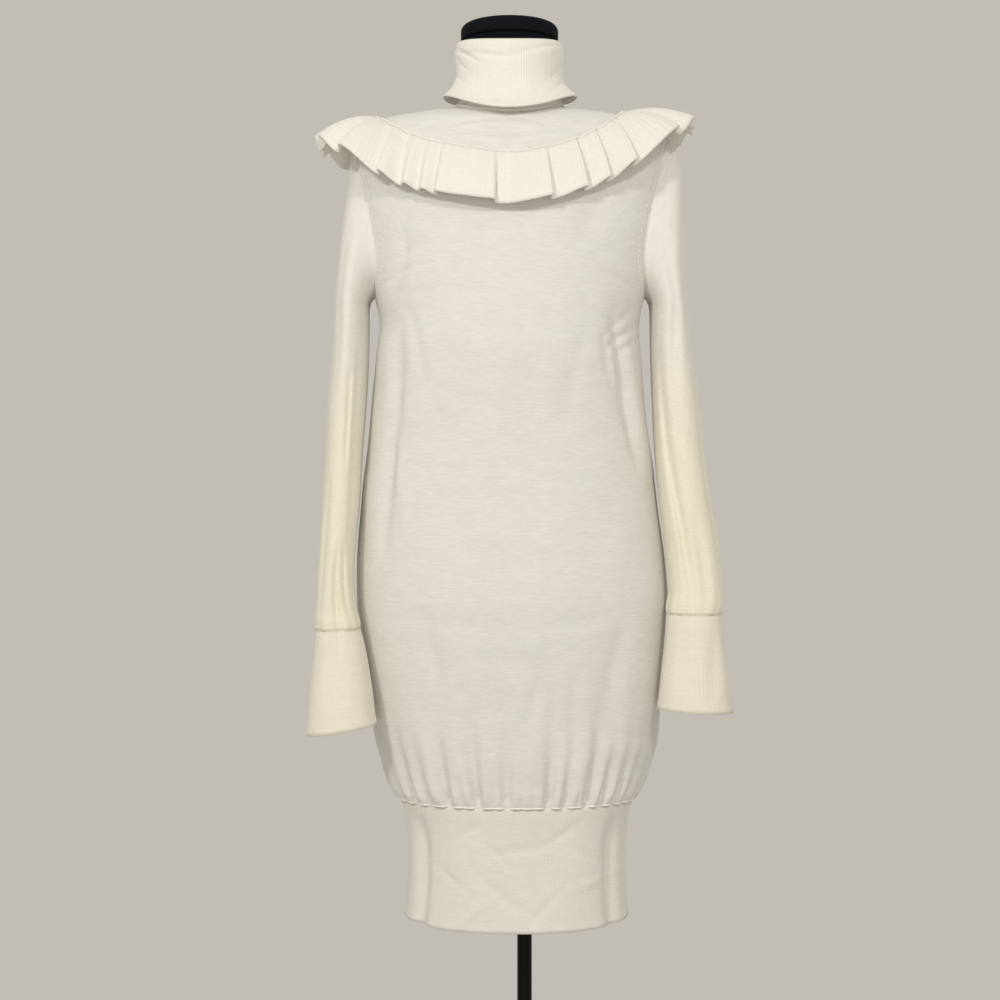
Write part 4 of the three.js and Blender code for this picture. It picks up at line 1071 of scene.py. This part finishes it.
hem_line = np.concatenate([front_grid[0], back_grid[0]])
hem_out = unit((hem_line - hem_line.mean(axis=0)) * (1, 1, 0.0))
hem_base = np.concatenate([body_point(a, -1.0) for a in (front_angles[0], back_angles[0])])
hem_dent = np.linalg.norm((hem_line - hem_base)[:, :2], axis=-1)
hem_size = 0.4 + 0.75 * np.exp(-hem_dent / 1.6)
hem_seam = roll_object("hem_seam", hem_line + hem_out * 0.3 * hem_size[:, None], hem_size)
finish_piece(hem_seam, thread, "ribbing")
for label, side in (("left", -1), ("right", 1)):
    angle, level = armhole_place(np.arange(ARMHOLE_SEAM_STEPS) / ARMHOLE_SEAM_STEPS)
    line = body_point(side * angle, level)
    seam = roll_object("armhole_seam_" + label, line, SEAM_ROLLS["armhole"])
    finish_piece(seam, body_knit, "body_knit")
    for facing, surface in ((True, front_surface), (False, back_surface)):
        name = "armhole_marks_" + label + ("_front" if facing else "_back")
        marks = make_marks(name, surface, side, facing)
        finish_piece(marks, body_knit, "body_knit")

neck_line = body_point(full_turn(NECK_SEAM_STEPS), 1.0)
neck_seam = roll_object("neck_seam", neck_line + (0, 0, 1.0), SEAM_ROLLS["neck"])
finish_piece(neck_seam, rib_knit, "ribbing")

finish_piece(make_form(), form_cloth, "form_cloth", "form_torso")
finish_piece(make_cap(), form_cloth, "form_cloth", "neck_cap")
for name in ("pole", "base_plate"):
    materials = bpy.data.objects[name].data.materials
    materials.clear()
    materials.append(black_steel)


# Setting

CAMERA_PLACE = (-0.02695, -2.0, 0.970)
CAMERA_LENS = 65.4545
FLOOR_HALF = 1.35
WALL_GREY = (0.535, 0.512, 0.462)
FLOOR_PALE = (0.62, 0.60, 0.57)


def add_floor():
    mesh = bpy.data.meshes.new("floor")
    side = FLOOR_HALF
    corners = [(-side, -side, 0), (side, -side, 0), (side, side, 0), (-side, side, 0)]
    mesh.from_pydata(corners, [], [(0, 1, 2, 3)])
    floor = bpy.data.objects.new("floor", mesh)
    bpy.context.scene.collection.objects.link(floor)
    floor.data.materials.append(plain_material("floor_pale", FLOOR_PALE, 0.8))


def add_light(name, place, target, size, power, colour):
    light = bpy.data.lights.new(name, "AREA")
    light.shape = "RECTANGLE"
    light.size, light.size_y = size
    light.energy = power
    light.color = colour
    lamp = bpy.data.objects.new(name, light)
    lamp.location = place
    aim = mathutils.Vector(target) - mathutils.Vector(place)
    lamp.rotation_euler = aim.to_track_quat("-Z", "Y").to_euler()
    bpy.context.scene.collection.objects.link(lamp)


def add_camera():
    data = bpy.data.cameras.new("camera")
    data.lens = CAMERA_LENS
    data.sensor_width = 36
    camera = bpy.data.objects.new("camera", data)
    camera.location = CAMERA_PLACE
    camera.rotation_euler = (math.pi / 2, 0, 0)
    bpy.context.scene.collection.objects.link(camera)
    bpy.context.scene.camera = camera


def add_world():
    world = bpy.data.worlds.new("pale_room")
    bpy.context.scene.world = world
    world.use_nodes = True
    background = world.node_tree.nodes["Background"]
    background.inputs["Color"].default_value = (*WALL_GREY, 1)
    background.inputs["Strength"].default_value = 1.0
    bpy.context.scene.view_settings.view_transform = "Standard"


add_floor()
add_light("key_left", (-1.25, -2.1, 2.25), (0, 0, 1.0), (0.22, 0.22), 20.5, (1.0, 0.985, 0.955))
add_light("key_right", (0.6, -2.15, 2.4), (0, 0, 0.95), (0.22, 0.22), 13.5, (1.0, 0.98, 0.94))
add_light("fill", (0.2, -2.6, 0.8), (0, 0, 0.85), (1.0, 0.8), 7, (1.0, 0.985, 0.96))
add_camera()
add_world()
